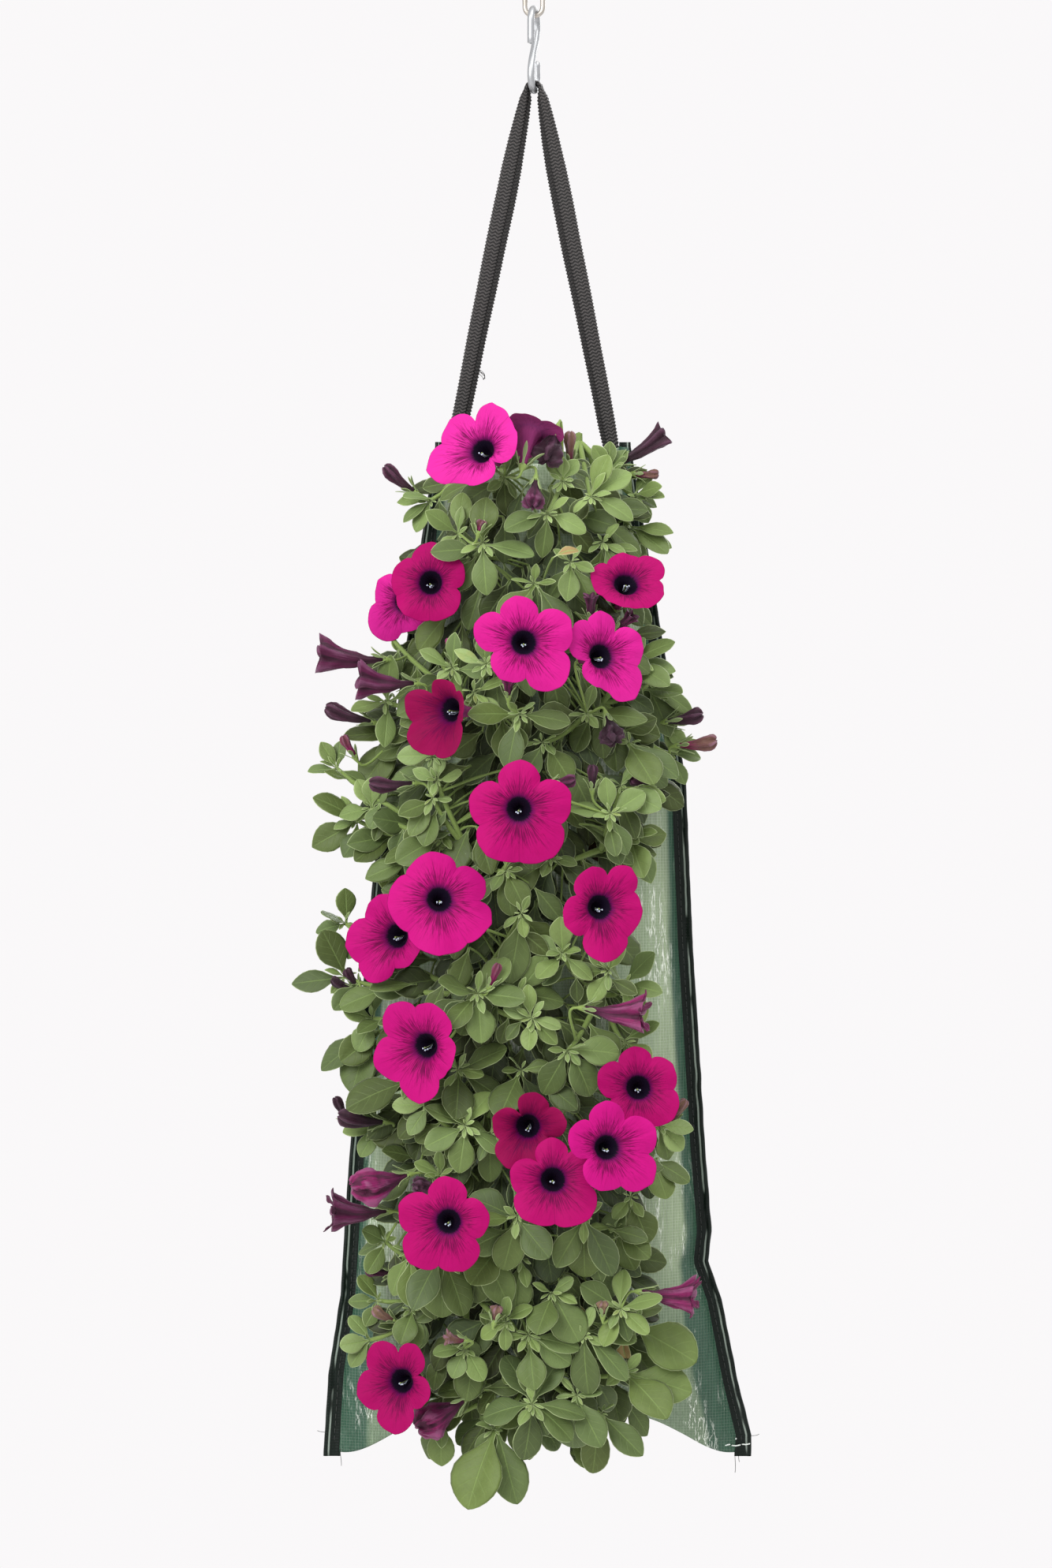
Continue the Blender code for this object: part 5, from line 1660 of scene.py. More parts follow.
FULL = Blade((-1, -0.86, -0.6, -0.3, 0, 0.3, 0.6, 0.86, 1),
             (0, 0.08, 0.18, 0.3, 0.42, 0.54, 0.66, 0.77, 0.86, 0.93, 0.975))
PLAIN = Blade((-1, -0.7, -0.3, 0, 0.3, 0.7, 1), (0, 0.12, 0.28, 0.45, 0.62, 0.78, 0.9, 0.97))
SMALL = Blade((-1, -0.5, 0, 0.5, 1), (0, 0.25, 0.5, 0.75, 0.92))


@dataclass
class Flower:
    """One open flower: a five-lobed limb on a tube, with anthers low in its throat."""

    form: BagForm
    palette: Palette
    number: int
    throat: float = 6.2
    tube: float = 27.0
    skin: float = 0.35
    samples: int = 16
    rounds: int = 40

    def __post_init__(self) -> None:
        """Place the flower."""
        x, drop, out, yaw, pitch = FLOWERS[self.number - 1]
        tips, self.ripe, self.raised = LOBES[self.number - 1]
        self.centre = self.form.seen(x, drop, out)
        self.forward = facing(yaw, pitch)
        self.base = self.centre - self.forward * self.tube * MM
        self.right = Vector((0, 0, 1)).cross(self.forward).normalized()
        self.up = self.forward.cross(self.right)
        seen = [(*self.lobe(x, z), notch) for x, z, notch in tips]
        self.lobes = sorted(seen or HIDDEN_LOBES[self.number])
        self.sketch = Sketch()

    def lobe(self, x: float, z: float) -> tuple[int, int]:
        """Find the lobe whose tip is seen at a place, by closing in on how far it runs out.

        Args:
            x: Millimetres right of the throat.
            z: Millimetres above the throat.

        Returns:
            Its angle round the throat in whole degrees, and its reach in whole millimetres.
        """
        slope = math.radians(self.raised)
        run = wide = high = 0.0
        for _ in range(self.rounds):
            rise = run * math.sin(slope)
            high = (z - rise * self.forward.z) / self.up.z
            wide = (x - rise * self.forward.x - high * self.up.x) / self.right.x
            run = (math.hypot(wide, high) - self.throat) / math.cos(slope)
        return round(math.degrees(math.atan2(high, wide))) % 360, round(self.throat + run)

    def outline(self) -> tuple[Array, Array, Array, Array]:
        """Angles round the limb, signed place in the lobe, reach, and how far lobes are raised."""
        rng = random.Random(self.number * 7 + 1)
        lobes = self.lobes
        angles, places, reaches, raises = [], [], [], []
        tilts = [math.radians(self.raised + rng.uniform(-6, 6)) for _ in lobes]
        for k, (angle, reach, cut) in enumerate(lobes):
            before, after = lobes[k - 1], lobes[(k + 1) % 5]
            gaps = ((angle - before[0]) % 360, (after[0] - angle) % 360)
            for x in np.linspace(-1, 1, self.samples + 1)[:-1]:
                gap, other, share = (gaps[0], before, before[2]) if x < 0 else (gaps[1], after, cut)
                neighbour = (k - 1) % 5 if x < 0 else (k + 1) % 5
                notch = share * (reach + other[1]) / 2
                edge = notch + (reach - notch) * (1 - abs(x) ** 1.9) ** 0.70
                edge += 0.02 * reach * math.exp(-((x / 0.14) ** 2))
                ripple = drift(k * 3.0 + x * 2.2, self.number * 2.0, 0.0)
                angles.append(math.radians(angle + x * gap / 2))
                places.append(x)
                reaches.append(edge * (1 + 0.022 * ripple))
                raises.append(tilts[k] + (tilts[neighbour] - tilts[k]) * abs(x) / 2)
        return np.array(angles), np.array(places), np.array(reaches), np.array(raises)

    def limb(self, share: float, under: bool) -> tuple[Array, Array]:
        """One ring of the limb.

        Args:
            share: How far out, from 0 at the throat to 1 at the edge.
            under: Whether it is on the underside.

        Returns:
            The ring's radius and its height along the flower's axis, in millimetres.
        """
        angles, places, reaches, raises = self.shape
        run = (reaches - self.throat) * share
        radius = self.throat + run * np.cos(raises)
        size = float(np.mean(reaches))
        height = run * np.sin(raises) - 4.2 * math.exp(-share / 0.17)
        height = height + 0.050 * size * share**1.5 * np.cos(math.pi * places)
        height = height - 0.070 * size * share**4 * (1 - 0.6 * np.abs(places))
        height = height - 0.55 * np.exp(-((places / 0.09) ** 2)) * share * (1 - share) * 2.6
        ruffle = np.array([drift(math.cos(a) * 2.3, math.sin(a) * 2.3, self.number * 1.7)
                           for a in angles])
        flutter = np.array([drift(math.cos(a) * 5.5, math.sin(a) * 5.5, self.number * 0.7)
                            for a in angles])
        height = height + (0.085 * ruffle + 0.03 * flutter) * size * share**2.2
        if under:
            height = height - self.skin * (1 - share**6 * 0.7)
        return radius, height

    def add_corolla(self) -> None:
        """Lay the corolla: down from the deep throat to the limb's edge, and back to the base."""
        self.shape = self.outline()
        angles, places, _, _ = self.shape
        across = np.abs(places)
        count = len(angles)
        rows: list[tuple[Array, Array, float, float]] = []
        for radius, depth in ((1.4, -14.0), (2.6, -11.0), (3.7, -7.8), (4.6, -6.2), (5.5, -5.0)):
            rows.append((np.full(count, radius), np.full(count, depth), depth / 20, 1.0))
        for share in (0.0, 0.04, 0.1, 0.18, 0.28, 0.4, 0.52, 0.64, 0.75, 0.85, 0.93, 0.98, 1.0):
            rows.append((*self.limb(share, under=False), share, 1.0))
        for share in (0.985, 0.93, 0.8, 0.62, 0.42, 0.22, 0.08):
            rows.append((*self.limb(share, under=True), share, 0.0))
        for radius, depth in ((5.9, -5.6), (5.2, -7.6), (4.2, -11.0), (3.2, -15.0), (2.5, -21.0),
                              (2.1, -self.tube)):
            ribs = 1 + 0.05 * np.cos(5 * angles)
            rows.append((radius * ribs, np.full(count, depth), 0.5, 0.0))
        right, up, forward = (np.array(v) for v in (self.right, self.up, self.forward))
        centre = np.array(self.centre)
        ring = np.cos(angles)[:, None] * right + np.sin(angles)[:, None] * up
        points, place, look = [], [], []
        for radius, height, reach, upper in rows:
            points.append(centre + (ring * radius[:, None] + forward * height[:, None]) * MM)
            place.append(np.stack([np.cos(angles), np.sin(angles), np.full(count, reach)], -1))
            look.append(np.stack([np.full(count, self.ripe), across, np.full(count, upper)], -1))
        final = (len(rows) - 1) * count
        self.sketch.add(np.concatenate(points),
                        [grid_faces(len(rows), count, closed=True), np.arange(count)[None, :],
                         (final + np.arange(count))[None, ::-1]],
                        np.concatenate(place), np.concatenate(look))

    def add_anthers(self) -> None:
        """Add three anthers and the stigma, low in the throat."""
        rng = random.Random(self.number)
        for kind, (dx, dy) in ((0.0, (-1.3, -1.7)), (0.0, (0.1, -2.3)), (0.1, (1.1, -1.6)),
                               (1.0, (-0.2, -1.0))):
            dx, dy = dx + rng.uniform(-0.5, 0.5), dy + rng.uniform(-0.4, 0.4)
            spot = self.centre + (self.right * dx + self.up * dy + self.forward * -2.4) * MM
            lean = (self.right * rng.uniform(-1, 1) + self.up * rng.uniform(-1, 1)) * 0.35 * MM
            path = [spot - lean, spot + self.forward * 0.4 * MM, spot + lean + self.forward * 0.6 * MM]
            self.sketch.tube(path, [0.35 * MM, 0.52 * MM, 0.4 * MM], 8, (kind, 0, 0), slot=1)
            self.sketch.tube([self.centre - self.forward * 12 * MM, spot - self.forward * 4 * MM,
                              spot - lean],
                             0.2 * MM, 5, (kind, 0, 0), slot=1)

    def build(self) -> None:
        """Make the flower."""
        self.add_corolla()
        self.add_anthers()
        piece = self.sketch.make(f"open_flower_{self.number:02d}",
                                 [self.palette.petal, self.palette.anther])
        settle(piece, "petals", f"flower_{self.number:02d}")


@dataclass
class Spent:
    """One furled, fading or budding flower."""

    base: Vector
    tip: Vector
    mouth: float
    form: Fade
    age: float
    seed: int
    sides: int = 40

    def radii(self) -> tuple[Array, Array]:
        """Places along the trumpet and its radius at each, in millimetres."""
        m = self.mouth
        if self.form in (Fade.FLARED, Fade.STAR):
            share = (0.0, 0.1, 0.25, 0.42, 0.6, 0.75, 0.86, 0.94, 1.0, 0.985, 0.93, 0.84)
            size = (1.5, 1.9, 2.2, 0.42 * m + 0.8, 0.62 * m, 0.78 * m, 0.92 * m, 1.05 * m, 1.12 * m,
                    0.95 * m, 0.6 * m, 0.25 * m)
        elif self.form is Fade.LIMP:
            share = (0.0, 0.1, 0.25, 0.42, 0.6, 0.74, 0.86, 0.95, 1.0, 0.97, 0.9)
            size = (1.4, 1.8, 0.5 * m, 0.8 * m, m, 1.05 * m, 0.95 * m, 0.7 * m, 0.4 * m, 0.25 * m, 0.1 * m)
        else:
            share = (0.0, 0.12, 0.3, 0.5, 0.68, 0.82, 0.92, 0.98, 1.0, 0.975)
            size = (1.3, 1.6, 0.42 * m + 0.7, 0.75 * m, 0.95 * m, m, 0.86 * m, 0.55 * m, 0.3 * m, 0.1 * m)
        return np.array(share), np.array(size)

    def add(self, sketch: Sketch, slot: int = 0) -> None:
        """Add the corolla to a sketch.

        Args:
            sketch: Where it goes.
            slot: Number of its finish there.
        """
        axis = self.tip - self.base
        length = axis.length
        forward = axis.normalized()
        right, up = axes_of(forward)
        angles = np.linspace(0, 2 * math.pi, self.sides, endpoint=False)
        knots, sizes = self.radii()
        steps = np.linspace(0, len(knots) - 1, 30)
        share = np.interp(steps, range(len(knots)), knots)
        radius = np.interp(steps, range(len(sizes)), sizes)
        limp = self.form is Fade.LIMP
        twist = 2.6 if self.form is Fade.SLIM else 1.2
        deep = 0.30 if self.form is Fade.STAR else 0.26
        points, place, look = [], [], []
        for f, r in zip(share, radius):
            folds = np.cos(5 * angles + twist * f + self.seed) * (0.08 + deep * f**1.6)
            folds = folds + 0.05 * f * np.cos(14 * angles + 3.1 * f + self.seed)
            crush = np.array([drift(math.cos(a) * 1.8, math.sin(a) * 1.8, f * 4.0 + self.seed)
                              for a in angles])
            fine = np.array([drift(math.cos(a) * 5.0, math.sin(a) * 5.0, f * 9.0 + self.seed)
                             for a in angles])
            size = r * (1 + folds + crush * (0.75 if limp else 0.22) * f
                        + fine * (0.42 if limp else 0.14) * f)
            ahead = (f * length / MM
                     + np.cos(5 * angles + twist * f + self.seed) * 0.10 * self.mouth * f**4)
            sag = -0.05 * length / MM * math.sin(math.pi * f)
            spot = (np.array(self.base) + (np.cos(angles)[:, None] * np.array(right) * size[:, None]
                    + np.sin(angles)[:, None] * np.array(up) * size[:, None]
                    + np.array(forward) * ahead[:, None]) * MM + np.array((0, 0, sag)) * MM)
            points.append(spot)
            place.append(np.stack([np.cos(angles), np.sin(angles), np.full(self.sides, f)], -1))
            # the third look value is the fold height, which the finish turns into painted highlight and painted
            # shade
            look.append(np.stack([np.full(self.sides, self.age), np.full(self.sides, self.seed % 7 / 7),
                                  0.5 + (size / r - 1) * (2.1 if limp else 1.6)], -1))
        final = (len(share) - 1) * self.sides
        faces = grid_faces(len(share), self.sides, closed=True)[:, ::-1]
        sketch.add(np.concatenate(points), [faces, np.arange(self.sides)[None, ::-1],
                                            (final + np.arange(self.sides))[None, :]],
                   np.concatenate(place), np.concatenate(look), slot)
        if self.form is Fade.STAR:
            self.add_points(sketch, slot)

    def add_points(self, sketch: Sketch, slot: int) -> None:
        """Add the five narrow pointed lobes of a star-shaped mouth."""
        rng = random.Random(self.seed)
        forward = (self.tip - self.base).normalized()
        right, up = axes_of(forward)
        for k in range(5):
            angle = math.tau * (k + rng.uniform(-0.15, 0.15)) / 5 + self.seed
            radial = right * math.cos(angle) + up * math.sin(angle)
            start = self.tip - forward * 1.6 * MM + radial * self.mouth * 0.62 * MM
            way = forward * rng.uniform(0.35, 0.7) + radial
            points, place = PLAIN.shape(start, way, forward - radial * 0.3,
                                        self.mouth * rng.uniform(1.0, 1.3) * MM, self.mouth * 0.62 * MM,
                                        bend=rng.uniform(-0.6, 0.9), fold=0.7, wave=0.25,
                                        blunt=0.95, stalk=0.8, thick=0.4 * MM)
            sketch.add(points, PLAIN.faces, place * (1, 1, 0.1) + (0, 0, 0.6),
                       (self.age, 0.5, 0.42), slot)


@dataclass
class SpentFlowers:
    """The furled flowers of the model, each in place of its node, and the small buds."""

    form: BagForm
    palette: Palette

    def __post_init__(self) -> None:
        """Place them all."""
        self.furled = []
        for number, (row, (fade, age)) in enumerate(zip(FURLED, FADES), 1):
            x0, drop0, x1, drop1, out, mouth = row
            base = self.form.seen(x0, drop0, out)
            tip = self.form.seen(x1, drop1, out)
            tip.y = base.y - 4 * MM
            self.furled.append(Spent(base, tip, mouth, fade, age, number * 3 + 1))
        self.buds = []
        for number, (x, drop, out, length, width, hour, fade, age) in enumerate(BUDS):
            way = clock(hour, math.radians(14 if fade is Fade.SLIM else 24))
            middle = self.form.seen(x, drop, out)
            base = middle - way * length / 2 * MM
            self.buds.append(Spent(base, base + way * length * MM, width / 2, fade, age,
                                   number * 5 + 2, sides=30))
        self.sketches = []

    def build(self) -> None:
        """Make the furled flowers one by one, and the buds together."""
        for number, spent in enumerate(self.furled, 1):
            sketch = Sketch()
            spent.add(sketch)
            self.sketches.append(sketch)
            piece = sketch.make(f"furled_{number:02d}", [self.palette.faded])
            settle(piece, "faded_petals", f"furled_flower_{number:02d}")
        sketch = Sketch()
        for bud in self.buds:
            bud.add(sketch)
        self.sketches.append(sketch)
        settle(sketch.make("small_buds", [self.palette.faded]), "faded_petals")


# ---- plants ----


@dataclass
class Plant:
    """One grown plant: what belongs to its piece."""

    name: str
    root: Vector
    crown: Vector
    sketch: Sketch = field(default_factory=Sketch)
    routes: list[list[Vector]] = field(default_factory=list)


@dataclass
class Plants:
    """All fifteen plants: stems, leaves, flower stalks and calyces."""

    form: BagForm
    palette: Palette
    pouch: Pouch
    flowers: list[Flower]
    spent: SpentFlowers
    top_plants: tuple = ((-24, -8), (26, -6))
    crown_drop: float = 266
    crown_out: float = 14
    top_limit: float = 330
    stem: float = 2.6
    shoot: float = 1.5
    stalk: float = 0.8
    cell: float = 26.0

    def __post_init__(self) -> None:
        """Set the plants in their holes."""
        self.rng = random.Random("petunia")
        self.plants: list[Plant] = []
        self.near: dict[tuple[int, int], list[BVHTree]] = {}
        self.leaves = 0
        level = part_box("compost")[1].z
        for side, (x, y) in zip(("left", "right"), self.top_plants):
            root = Vector((x * MM, y * MM, level - 2 * MM))
            crown = Vector((x * MM, (y - self.crown_out) * MM, -self.crown_drop * MM))
            self.plants.append(Plant(f"plant_top_{side}", root, crown))
        for name, (x, drop) in self.pouch.holes().items():
            wall = self.form.wall(x, drop)
            root = Vector((x, wall + 5, -drop)) * MM
            self.plants.append(Plant(name, root, Vector((x, wall - self.crown_out, -drop)) * MM))

    def nearest(self, point: Vector) -> Plant:
        """The plant that a shoot, leaf or flower belongs to."""
        tops = len(self.top_plants)
        near = self.plants[:tops] if point.z > -self.top_limit * MM else self.plants[tops:]
        low = point - Vector((0, 0, 10 * MM))
        return min(near, key=lambda plant: (plant.crown - low).length)

    def behind_wall(self, points: Array) -> bool:
        """Whether any of a few points lies in or behind the front of the bag."""
        for x, y, z in points:
            drop = -z / MM
            if self.form.rim < drop < self.form.corner - 8:
                if self.form.edge(-1, drop) < x / MM < self.form.edge(1, drop):
                    if y / MM > self.form.wall(x / MM, drop) - 1.6:
                        return True
        return False

    def cells(self, points: Array) -> set[tuple[int, int]]:
        """The cells of the search grid that a leaf touches."""
        size = self.cell * MM
        low, high = points.min(0) / size, points.max(0) / size
        return {(i, k) for i in range(math.floor(low[0]), math.floor(high[0]) + 1)
                for k in range(math.floor(low[2]), math.floor(high[2]) + 1)}

    def add_leaf(self, plant: Plant, blade: Blade, base: Vector, hour: float, length: float,
                 tone: float, leans: tuple[float, ...], share: float = 0.62, bend: float = 0.35,
                 blunt: float = 0.8, limit: int = 30) -> bool:
        """Grow one leaf, at the lean where it crosses the fewest others.

        Args:
            plant: The plant that it grows on.
            blade: Its layout of points.
            base: Where it starts.
            hour: The clock hour that it points to.
            length: Its length, in millimetres.
            tone: Its colour, from 0 for old and dark to 0.85 for young, and 1 for dry; it is darkened as
                painted shade the nearer the leaf lies to the bag.
            leans: Forward leans to try, in degrees.
            share: Its width as a share of its length.
            bend: Angle that it bends back through, in radians.
            blunt: Bluntness of its ends.
            limit: The most crossings with other leaves that are let pass.

        Returns:
            Whether it found a place.
        """
        rng = self.rng
        round_leaf = min(max((-base.z / MM - 420) / 250, 0.0), 1.0) if length > 17 else 0.0
        share *= 1 + 0.08 * round_leaf
        blunt *= 1 - 0.14 * round_leaf
        normal = Vector((rng.uniform(-0.35, 0.35), -0.8, rng.uniform(0.15, 1.15)))
        form = {"bend": bend * rng.uniform(0.5, 1.5), "fold": rng.uniform(0.12, 0.6),
                "wave": rng.uniform(0.02, 0.14), "phase": rng.uniform(0, 6),
                "blunt": blunt * rng.uniform(0.82, 1.12),
                "stalk": 0.11}
        width = length * share * rng.uniform(0.9, 1.1) * MM
        best, fewest, found = None, limit + 1, None
        for lean in leans:
            way = clock(hour, math.radians(lean + rng.uniform(-4, 4)))
            if abs(way.dot(normal.normalized())) > 0.96:
                continue
            points, _ = SMALL.shape(base, way, normal, length * MM, width, **form)
            if self.behind_wall(points[[7, 12, 17, 21, len(points) - 1]]):
                continue
            tree = BVHTree.FromPolygons(points.tolist(), SMALL.flat)
            if any(tree.overlap(solid) for solid in self.solids):
                continue
            cells = self.cells(points)
            others = {id(other): other for key in cells for other in self.near.get(key, ())}
            crossings = sum(len(tree.overlap(other)) for other in others.values())
            if crossings < fewest:
                best, fewest, found = way, crossings, (tree, cells)
            if crossings == 0:
                break
        if best is None:
            return False
        points, place = blade.shape(base, best, normal, length * MM, width, **form)
        x, y, z = points.mean(axis=0) / MM
        # painted shade: leaves near the bag, deep in the foliage, get darker tones, partly as older leaves and
        # mostly as painted shade; those hanging below the bag stay partly dark
        hung = min((-z - 790) / 50, 0.72)
        clear = min(max((self.form.wall(x, -z) - y - 8) / 34, hung, 0.0), 1.0)
        if tone < 0.86:
            tone = max(tone * (0.35 + 0.65 * clear) + 0.12 * (clear - 0.6), 0.0)
        look = np.stack([np.full(len(points), tone), np.full(len(points), rng.random()), blade.low], -1)
        plant.sketch.add(points, blade.faces, place, look)
        for key in found[1]:
            self.near.setdefault(key, []).append(found[0])
        self.leaves += 1
        return True

    def clear_route(self, ends: tuple[Vector, Vector, Vector, Vector], radius: float) -> list[Vector]:
        """A curved way between two points that crosses no flower, or the straightest if none is.

        Args:
            ends: The four points of the way's curve.
            radius: Radius to keep clear.

        Returns:
            Points of the way.
        """
        start, leave, arrive, end = ends
        nudges = ((0, 0, 0), (0, -8, 0), (0, 8, 0), (8, 0, 0), (-8, 0, 0), (0, -16, 0), (0, 0, 10),
                  (0, 0, -10), (14, -8, 0), (-14, -8, 0), (0, 14, 8), (0, 14, -8))
        for nudge in nudges:
            bend = Vector(nudge) * MM
            route = bezier([start, leave + bend, arrive + bend, end], 9)
            probe = Sketch()
            probe.tube(route[:-1], radius, 5)
            tree = tree_of(probe)
            if not any(tree.overlap(solid) for solid in self.solids):
                return route
        return bezier([start, leave, arrive, end], 9)

    def add_shoots(self) -> list[tuple]:
        """Grow the shoots, and return each one's plant, tip, route, leaf reach and hours."""
        grown = []
        for x, drop, out, reach, hours in SHOOTS:
            tip = self.form.seen(x, drop, out)
            plant = self.nearest(tip)
            across = tip - plant.crown
            heart = plant.crown.lerp(plant.root, 0.1)
            route = self.clear_route((heart, plant.crown + across * 0.25,
                                      plant.crown + across * 0.7 + Vector((0, 0, -6 * MM)), tip),
                                     self.shoot * MM)
            radii = np.linspace(self.shoot * 1.25, self.shoot * 0.85, len(route)) * MM
            plant.sketch.tube(route, radii, 8, (0.65, 0, 0), slot=1)
            plant.routes.append(route)
            grown.append((plant, tip, route, reach, hours))
        for plant in self.plants:
            inside = plant.root
            path = [inside, inside.lerp(plant.crown, 0.5), plant.crown]
            plant.sketch.tube(path, [self.stem * MM, self.stem * MM, self.stem * 0.8 * MM], 10,
                              (0.4, 0, 0), slot=1)
        return grown

    def add_stalks(self) -> None:
        """Grow a stalk and a calyx for every flower and bud."""
        heads = [(flower.base, flower.forward, 2.3, 13.0) for flower in self.flowers]
        heads += [(spent.base, (spent.tip - spent.base).normalized(), 1.8, 11.0)
                  for spent in self.spent.furled]
        heads += [(bud.base, (bud.tip - bud.base).normalized(), 1.7, 8.0) for bud in self.spent.buds]
        for base, forward, radius, sepal in heads:
            plant = self.nearest(base)
            end = base - forward * 0.3 * MM
            near = min((point for route in plant.routes for point in route[2:]),
                       key=lambda point: (point - end).length)
            neck = end - forward * 4.5 * MM
            reach = (end - near).length
            route = self.clear_route((near, near.lerp(neck, 0.35), neck - forward * reach * 0.3, neck),
                                     self.stalk * MM)
            path = route + [neck.lerp(end, 0.4), neck.lerp(end, 0.8), end]
            radii = ([self.stalk * MM] * len(route)
                     + [radius * 0.85 * MM, radius * 1.15 * MM, radius * MM])
            plant.sketch.tube(path, radii, 8, (0.8, 0, 0), slot=1)
            self.add_calyx(plant, end, forward, radius, sepal)

    def add_calyx(self, plant: Plant, end: Vector, forward: Vector, radius: float,
                  length: float) -> None:
        """Add the five narrow sepals round a flower's base.

        Args:
            plant: The plant that they belong to.
            end: The centre of the base.
            forward: The way that the flower looks.
            radius: Radius of the base, in millimetres.
            length: Length of a sepal, in millimetres.
        """
        right, up = axes_of(forward)
        for k in range(5):
            angle = math.tau * (k + self.rng.uniform(-0.12, 0.12)) / 5
            radial = right * math.cos(angle) + up * math.sin(angle)
            start = end - forward * 1.2 * MM + radial * radius * 0.9 * MM
            way = forward + radial * self.rng.uniform(0.25, 0.65)
            points, place = PLAIN.shape(start, way, radial * -1.0 + forward * 0.4,
                                        length * self.rng.uniform(0.85, 1.1) * MM, 2.6 * MM,
                                        bend=-self.rng.uniform(-0.5, 0.2), fold=0.4,
                                        blunt=0.8, stalk=0.55)
            look = np.stack([np.full(len(points), 0.66), np.full(len(points), 0.5), PLAIN.low], -1)
            plant.sketch.add(points, PLAIN.faces, place, look)

    def add_rosettes(self, grown: list[tuple]) -> None:
        """Grow the leaves at the shoots' tips: outer ones, an inner ring and the heart."""
        rng = self.rng
        for plant, tip, route, reach, hours in grown:
            fresh = 0.62 if reach < 24 else 0.42 if reach < 31 else 0.24
            for hour in hours:
                hour += rng.uniform(-0.25, 0.25)
                tone = min(max(fresh + rng.uniform(-0.16, 0.16), 0.08), 0.8)
                self.add_leaf(plant, FULL, tip, hour, reach * rng.uniform(0.92, 1.08), tone,
                              (14, 4, 26, -8, 38), share=rng.uniform(0.44, 0.62), limit=60)
        for plant, tip, route, reach, hours in grown:
            ahead = (route[-1] - route[-2]).normalized()
            inner = min(reach * 0.55, 15.0)
            start = tip + ahead * 0.8 * MM
            turn = rng.uniform(0, 12)
            for k in range(6):
                hour = turn + k * 12 * 0.382 + rng.uniform(-0.4, 0.4)
                tone = 0.66 + rng.uniform(-0.14, 0.08)
                self.add_leaf(plant, PLAIN, start, hour, inner * rng.uniform(0.75, 1.2), tone,
                              (34, 22, 46), share=rng.uniform(0.32, 0.5), bend=0.5, blunt=0.9,
                              limit=26)
            for k in range(8):
                hour = turn + 1.1 + k * 12 * 0.382
                self.add_leaf(plant, SMALL, start + ahead * 0.8 * MM, hour, rng.uniform(5.0, 9.5),
                              0.77 + rng.uniform(-0.07, 0.05), (52, 66, 40),
                              share=rng.uniform(0.26, 0.36), bend=0.6, blunt=0.95, limit=60)

    def add_lower_leaves(self, grown: list[tuple]) -> None:
        """Grow older leaves along the shoots, hanging down and outwards."""
        rng = self.rng
        for plant, tip, route, reach, _ in grown:
            outward = max(min(tip.x / MM / 60, 1.0), -1.0)
            for place in (4, 6, 8):
                hour = 6 - outward * 1.8 + rng.uniform(-2.2, 2.2)
                self.add_leaf(plant, FULL, route[place], hour, min(reach, 30) * rng.uniform(0.72, 1.0),
                              rng.uniform(0.06, 0.36), (10, 0, 22, -12, 34),
                              share=rng.uniform(0.46, 0.64), limit=10)

    def add_cover(self) -> None:
        """Grow the leaves that close the cover in front of the bag, from the bag outwards."""
        rng = self.rng
        drops = [row[0] for row in COVER]
        for out, pitch_x, pitch_z, skip in ((6, 15, 12, 0.0), (15, 18, 15, 0.2), (25, 21, 18, 0.4)):
            for i, drop in enumerate(np.arange(drops[0], drops[-1], pitch_z)):
                left = float(np.interp(drop, drops, [row[1] for row in COVER]))
                right = float(np.interp(drop, drops, [row[2] for row in COVER]))
                for x in np.arange(left + (i % 2) * pitch_x / 2, right, pitch_x):
                    if rng.random() < skip:
                        continue
                    spot_x = x * 0.86 + rng.uniform(-3, 3)
                    spot_drop = drop + rng.uniform(-3, 3) - 8
                    base = self.form.seen(spot_x, spot_drop, out + rng.uniform(0, 3))
                    plant = self.nearest(base)
                    middle = (left + right) / 2
                    lean_out = (x - middle) / (right - left) * 2
                    hour = 6 - lean_out * 2.3 + rng.uniform(-1.5, 1.5)
                    # the outer layer is made a little lighter, so the inner layers stand darker as painted
                    # shade
                    tone = rng.uniform(0.02, 0.30) + (0.05 if out > 20 else 0.0)
                    grown = self.add_leaf(plant, PLAIN, base, hour, rng.uniform(22, 33), tone,
                                          (6, 16, -4, 28), share=rng.uniform(0.46, 0.66), limit=6)
                    if grown:
                        self.add_petiole(plant, base)

    def add_petiole(self, plant: Plant, base: Vector) -> None:
        """Join a leaf's base to the nearest shoot of its plant by a short leaf stalk."""
        near = min((point for route in plant.routes for point in route[:-1]),
                   key=lambda point: (point - base).length)
        if (near - base).length > 1.5 * MM:
            middle = near.lerp(base, 0.5) + Vector((0, 1.5 * MM, 2 * MM))
            plant.sketch.tube(bezier([near, middle, middle, base], 4), 0.7 * MM, 5, (0.5, 0, 0), slot=1)

    def add_dry_leaves(self) -> None:
        """Add the few curled dry leaves."""
        for x, drop, out, length, hour in DRY_LEAVES:
            base = self.form.seen(x, drop, out)
            plant = self.nearest(base)
            self.add_leaf(plant, FULL, base, hour, length, 1.0, (10, 20, 0),
                          share=0.4, bend=1.4, limit=200)
            self.add_petiole(plant, base)

    def build(self) -> None:
        """Grow all plants and make each one's piece."""
        self.solids = [tree_of(flower.sketch) for flower in self.flowers]
        self.solids += [tree_of(sketch) for sketch in self.spent.sketches]
        grown = self.add_shoots()
        self.add_stalks()
        self.add_rosettes(grown)
        self.add_dry_leaves()
        self.add_lower_leaves(grown)
        self.add_cover()
        LOG.info("%d leaves", self.leaves)
        for plant in self.plants:
            piece = plant.sketch.make(f"grown_{plant.name}", [self.palette.leaf, self.palette.stem])
            settle(piece, "foliage", plant.name)


# ---- studio ----


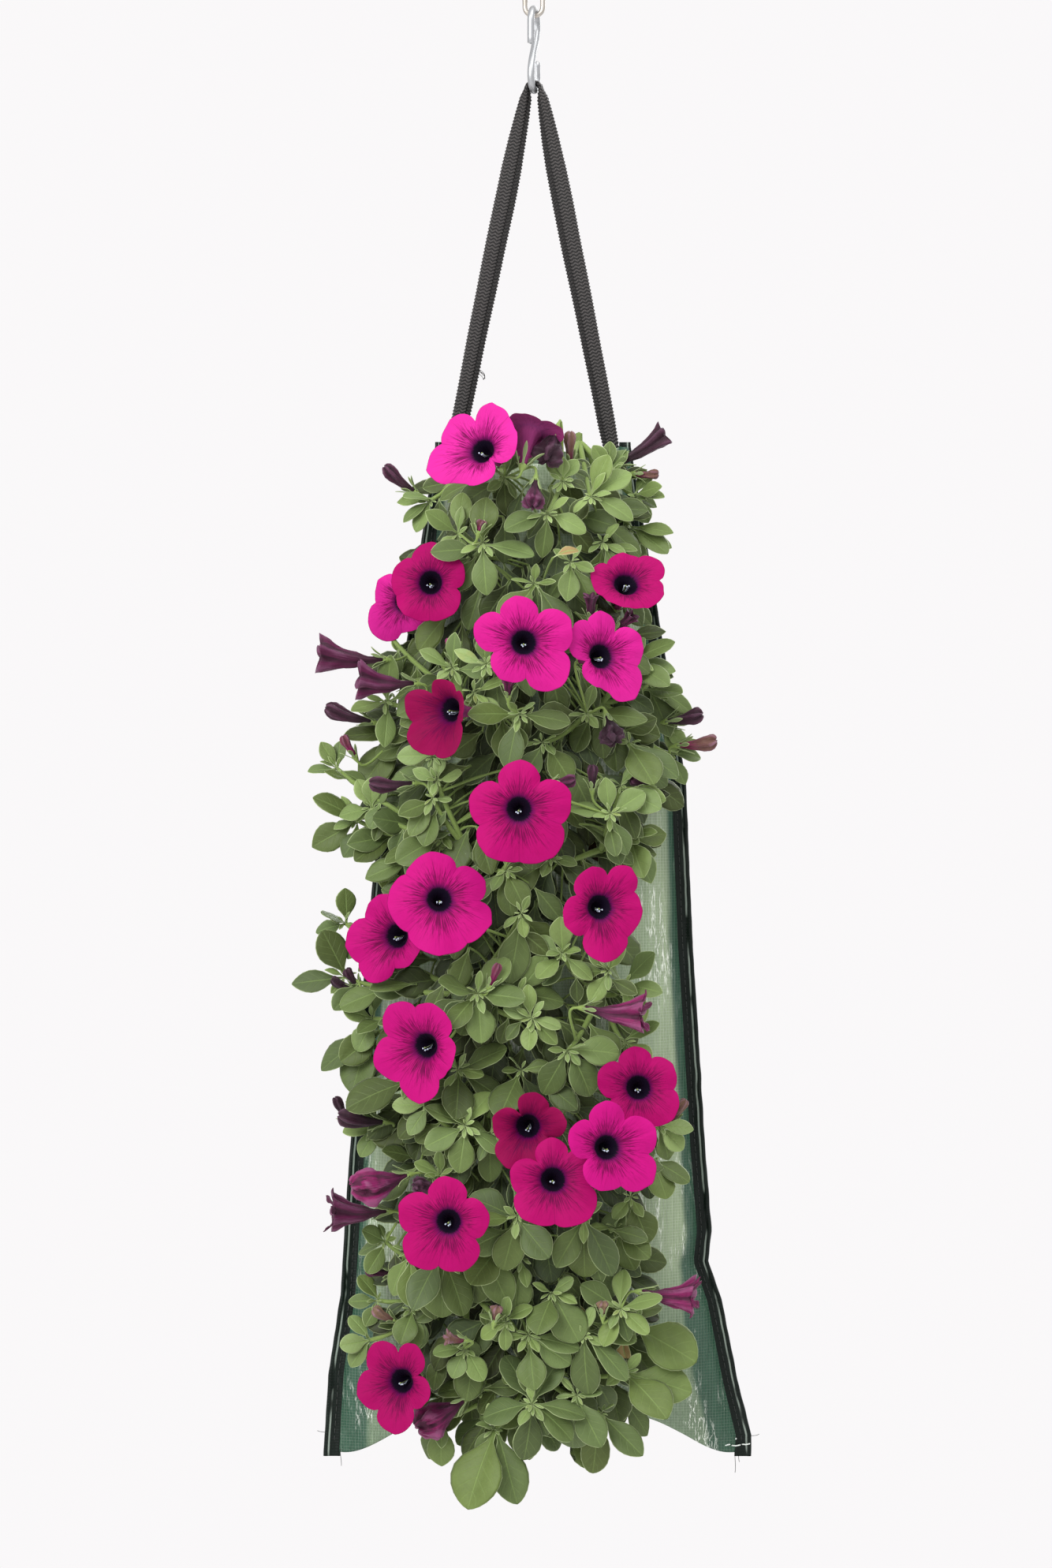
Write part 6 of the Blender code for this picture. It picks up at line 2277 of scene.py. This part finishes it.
@dataclass
class Studio:
    """Camera, plain pale floor, even white surroundings and soft lights."""

    distance: float = 3.2
    aim: tuple[float, float] = (-0.0046, -0.4685)
    frame_height: float = 0.912
    sensor: float = 36.0
    white: Triple = (0.955, 0.94, 0.948)
    floor_drop: float = 1.3
    floor_size: float = 3.0

    def add_camera(self) -> None:
        """Make the camera, level and straight in front."""
        data = bpy.data.cameras.new("camera")
        data.sensor_width = self.sensor
        data.lens = self.distance * self.sensor / self.frame_height
        data.clip_end = 50
        camera = bpy.data.objects.new("camera", data)
        camera.location = (self.aim[0], -self.distance, self.aim[1])
        camera.rotation_euler = (math.pi / 2, 0, 0)
        bpy.context.scene.collection.objects.link(camera)
        bpy.context.scene.camera = camera

    def add_light(self, name: str, place: tuple, size: float, power: float) -> None:
        """Make one soft square light that looks at the pouch."""
        data = bpy.data.lights.new(name, "AREA")
        data.size = size
        data.energy = power
        light = bpy.data.objects.new(name, data)
        light.location = place
        way = Vector((self.aim[0], 0, self.aim[1])) - Vector(place)
        light.rotation_euler = way.to_track_quat("-Z", "Y").to_euler()
        bpy.context.scene.collection.objects.link(light)

    def add_floor(self) -> None:
        """Make the plain pale floor under the pouch."""
        half = self.floor_size / 2
        mesh = bpy.data.meshes.new("floor")
        corners = [(-half, -half), (half, -half), (half, half), (-half, half)]
        mesh.from_pydata([(x, y, -self.floor_drop) for x, y in corners], [], [(0, 1, 2, 3)])
        g = Graph("pale_floor")
        shade = g.cloud(g.spot(), 3.0, 2.0)
        colour = g.blend(shade, (0.80, 0.79, 0.79), (0.86, 0.85, 0.85))
        mesh.materials.append(g.surface({"Base Color": colour}, {"Roughness": 0.8}))
        floor = bpy.data.objects.new("floor", mesh)
        bpy.context.scene.collection.objects.link(floor)

    def build(self) -> None:
        """Make everything round the pouch."""
        self.add_camera()
        world = bpy.data.worlds.new("white_surroundings")
        world.use_nodes = True
        backdrop = world.node_tree.nodes["Background"]
        backdrop.inputs["Color"].default_value = (*self.white, 1.0)
        bpy.context.scene.world = world
        bpy.context.scene.view_settings.view_transform = "Standard"
        self.add_light("front_light", (-1.3, -2.3, 0.7), 1.6, 80)
        self.add_light("top_light", (0.6, -0.9, 1.6), 1.2, 32)
        self.add_light("back_light", (1.2, 2.4, 0.6), 1.6, 34)
        self.add_floor()


def main() -> None:
    """Build the scene in order."""
    logging.basicConfig(level=logging.INFO, format="%(name)s: %(message)s")
    Studio().build()
    form = BagForm()
    palette = Palette()
    hardware = Hardware(palette)
    hardware.build()
    Strap(form, hardware, palette).build()
    pouch = Pouch(form, palette)
    pouch.build()
    Compost(form, palette).build()
    flowers = [Flower(form, palette, number) for number in range(1, len(FLOWERS) + 1)]
    for flower in flowers:
        flower.build()
    spent = SpentFlowers(form, palette)
    spent.build()
    Plants(form, palette, pouch, flowers, spent).build()


if __name__ == "__main__":
    main()
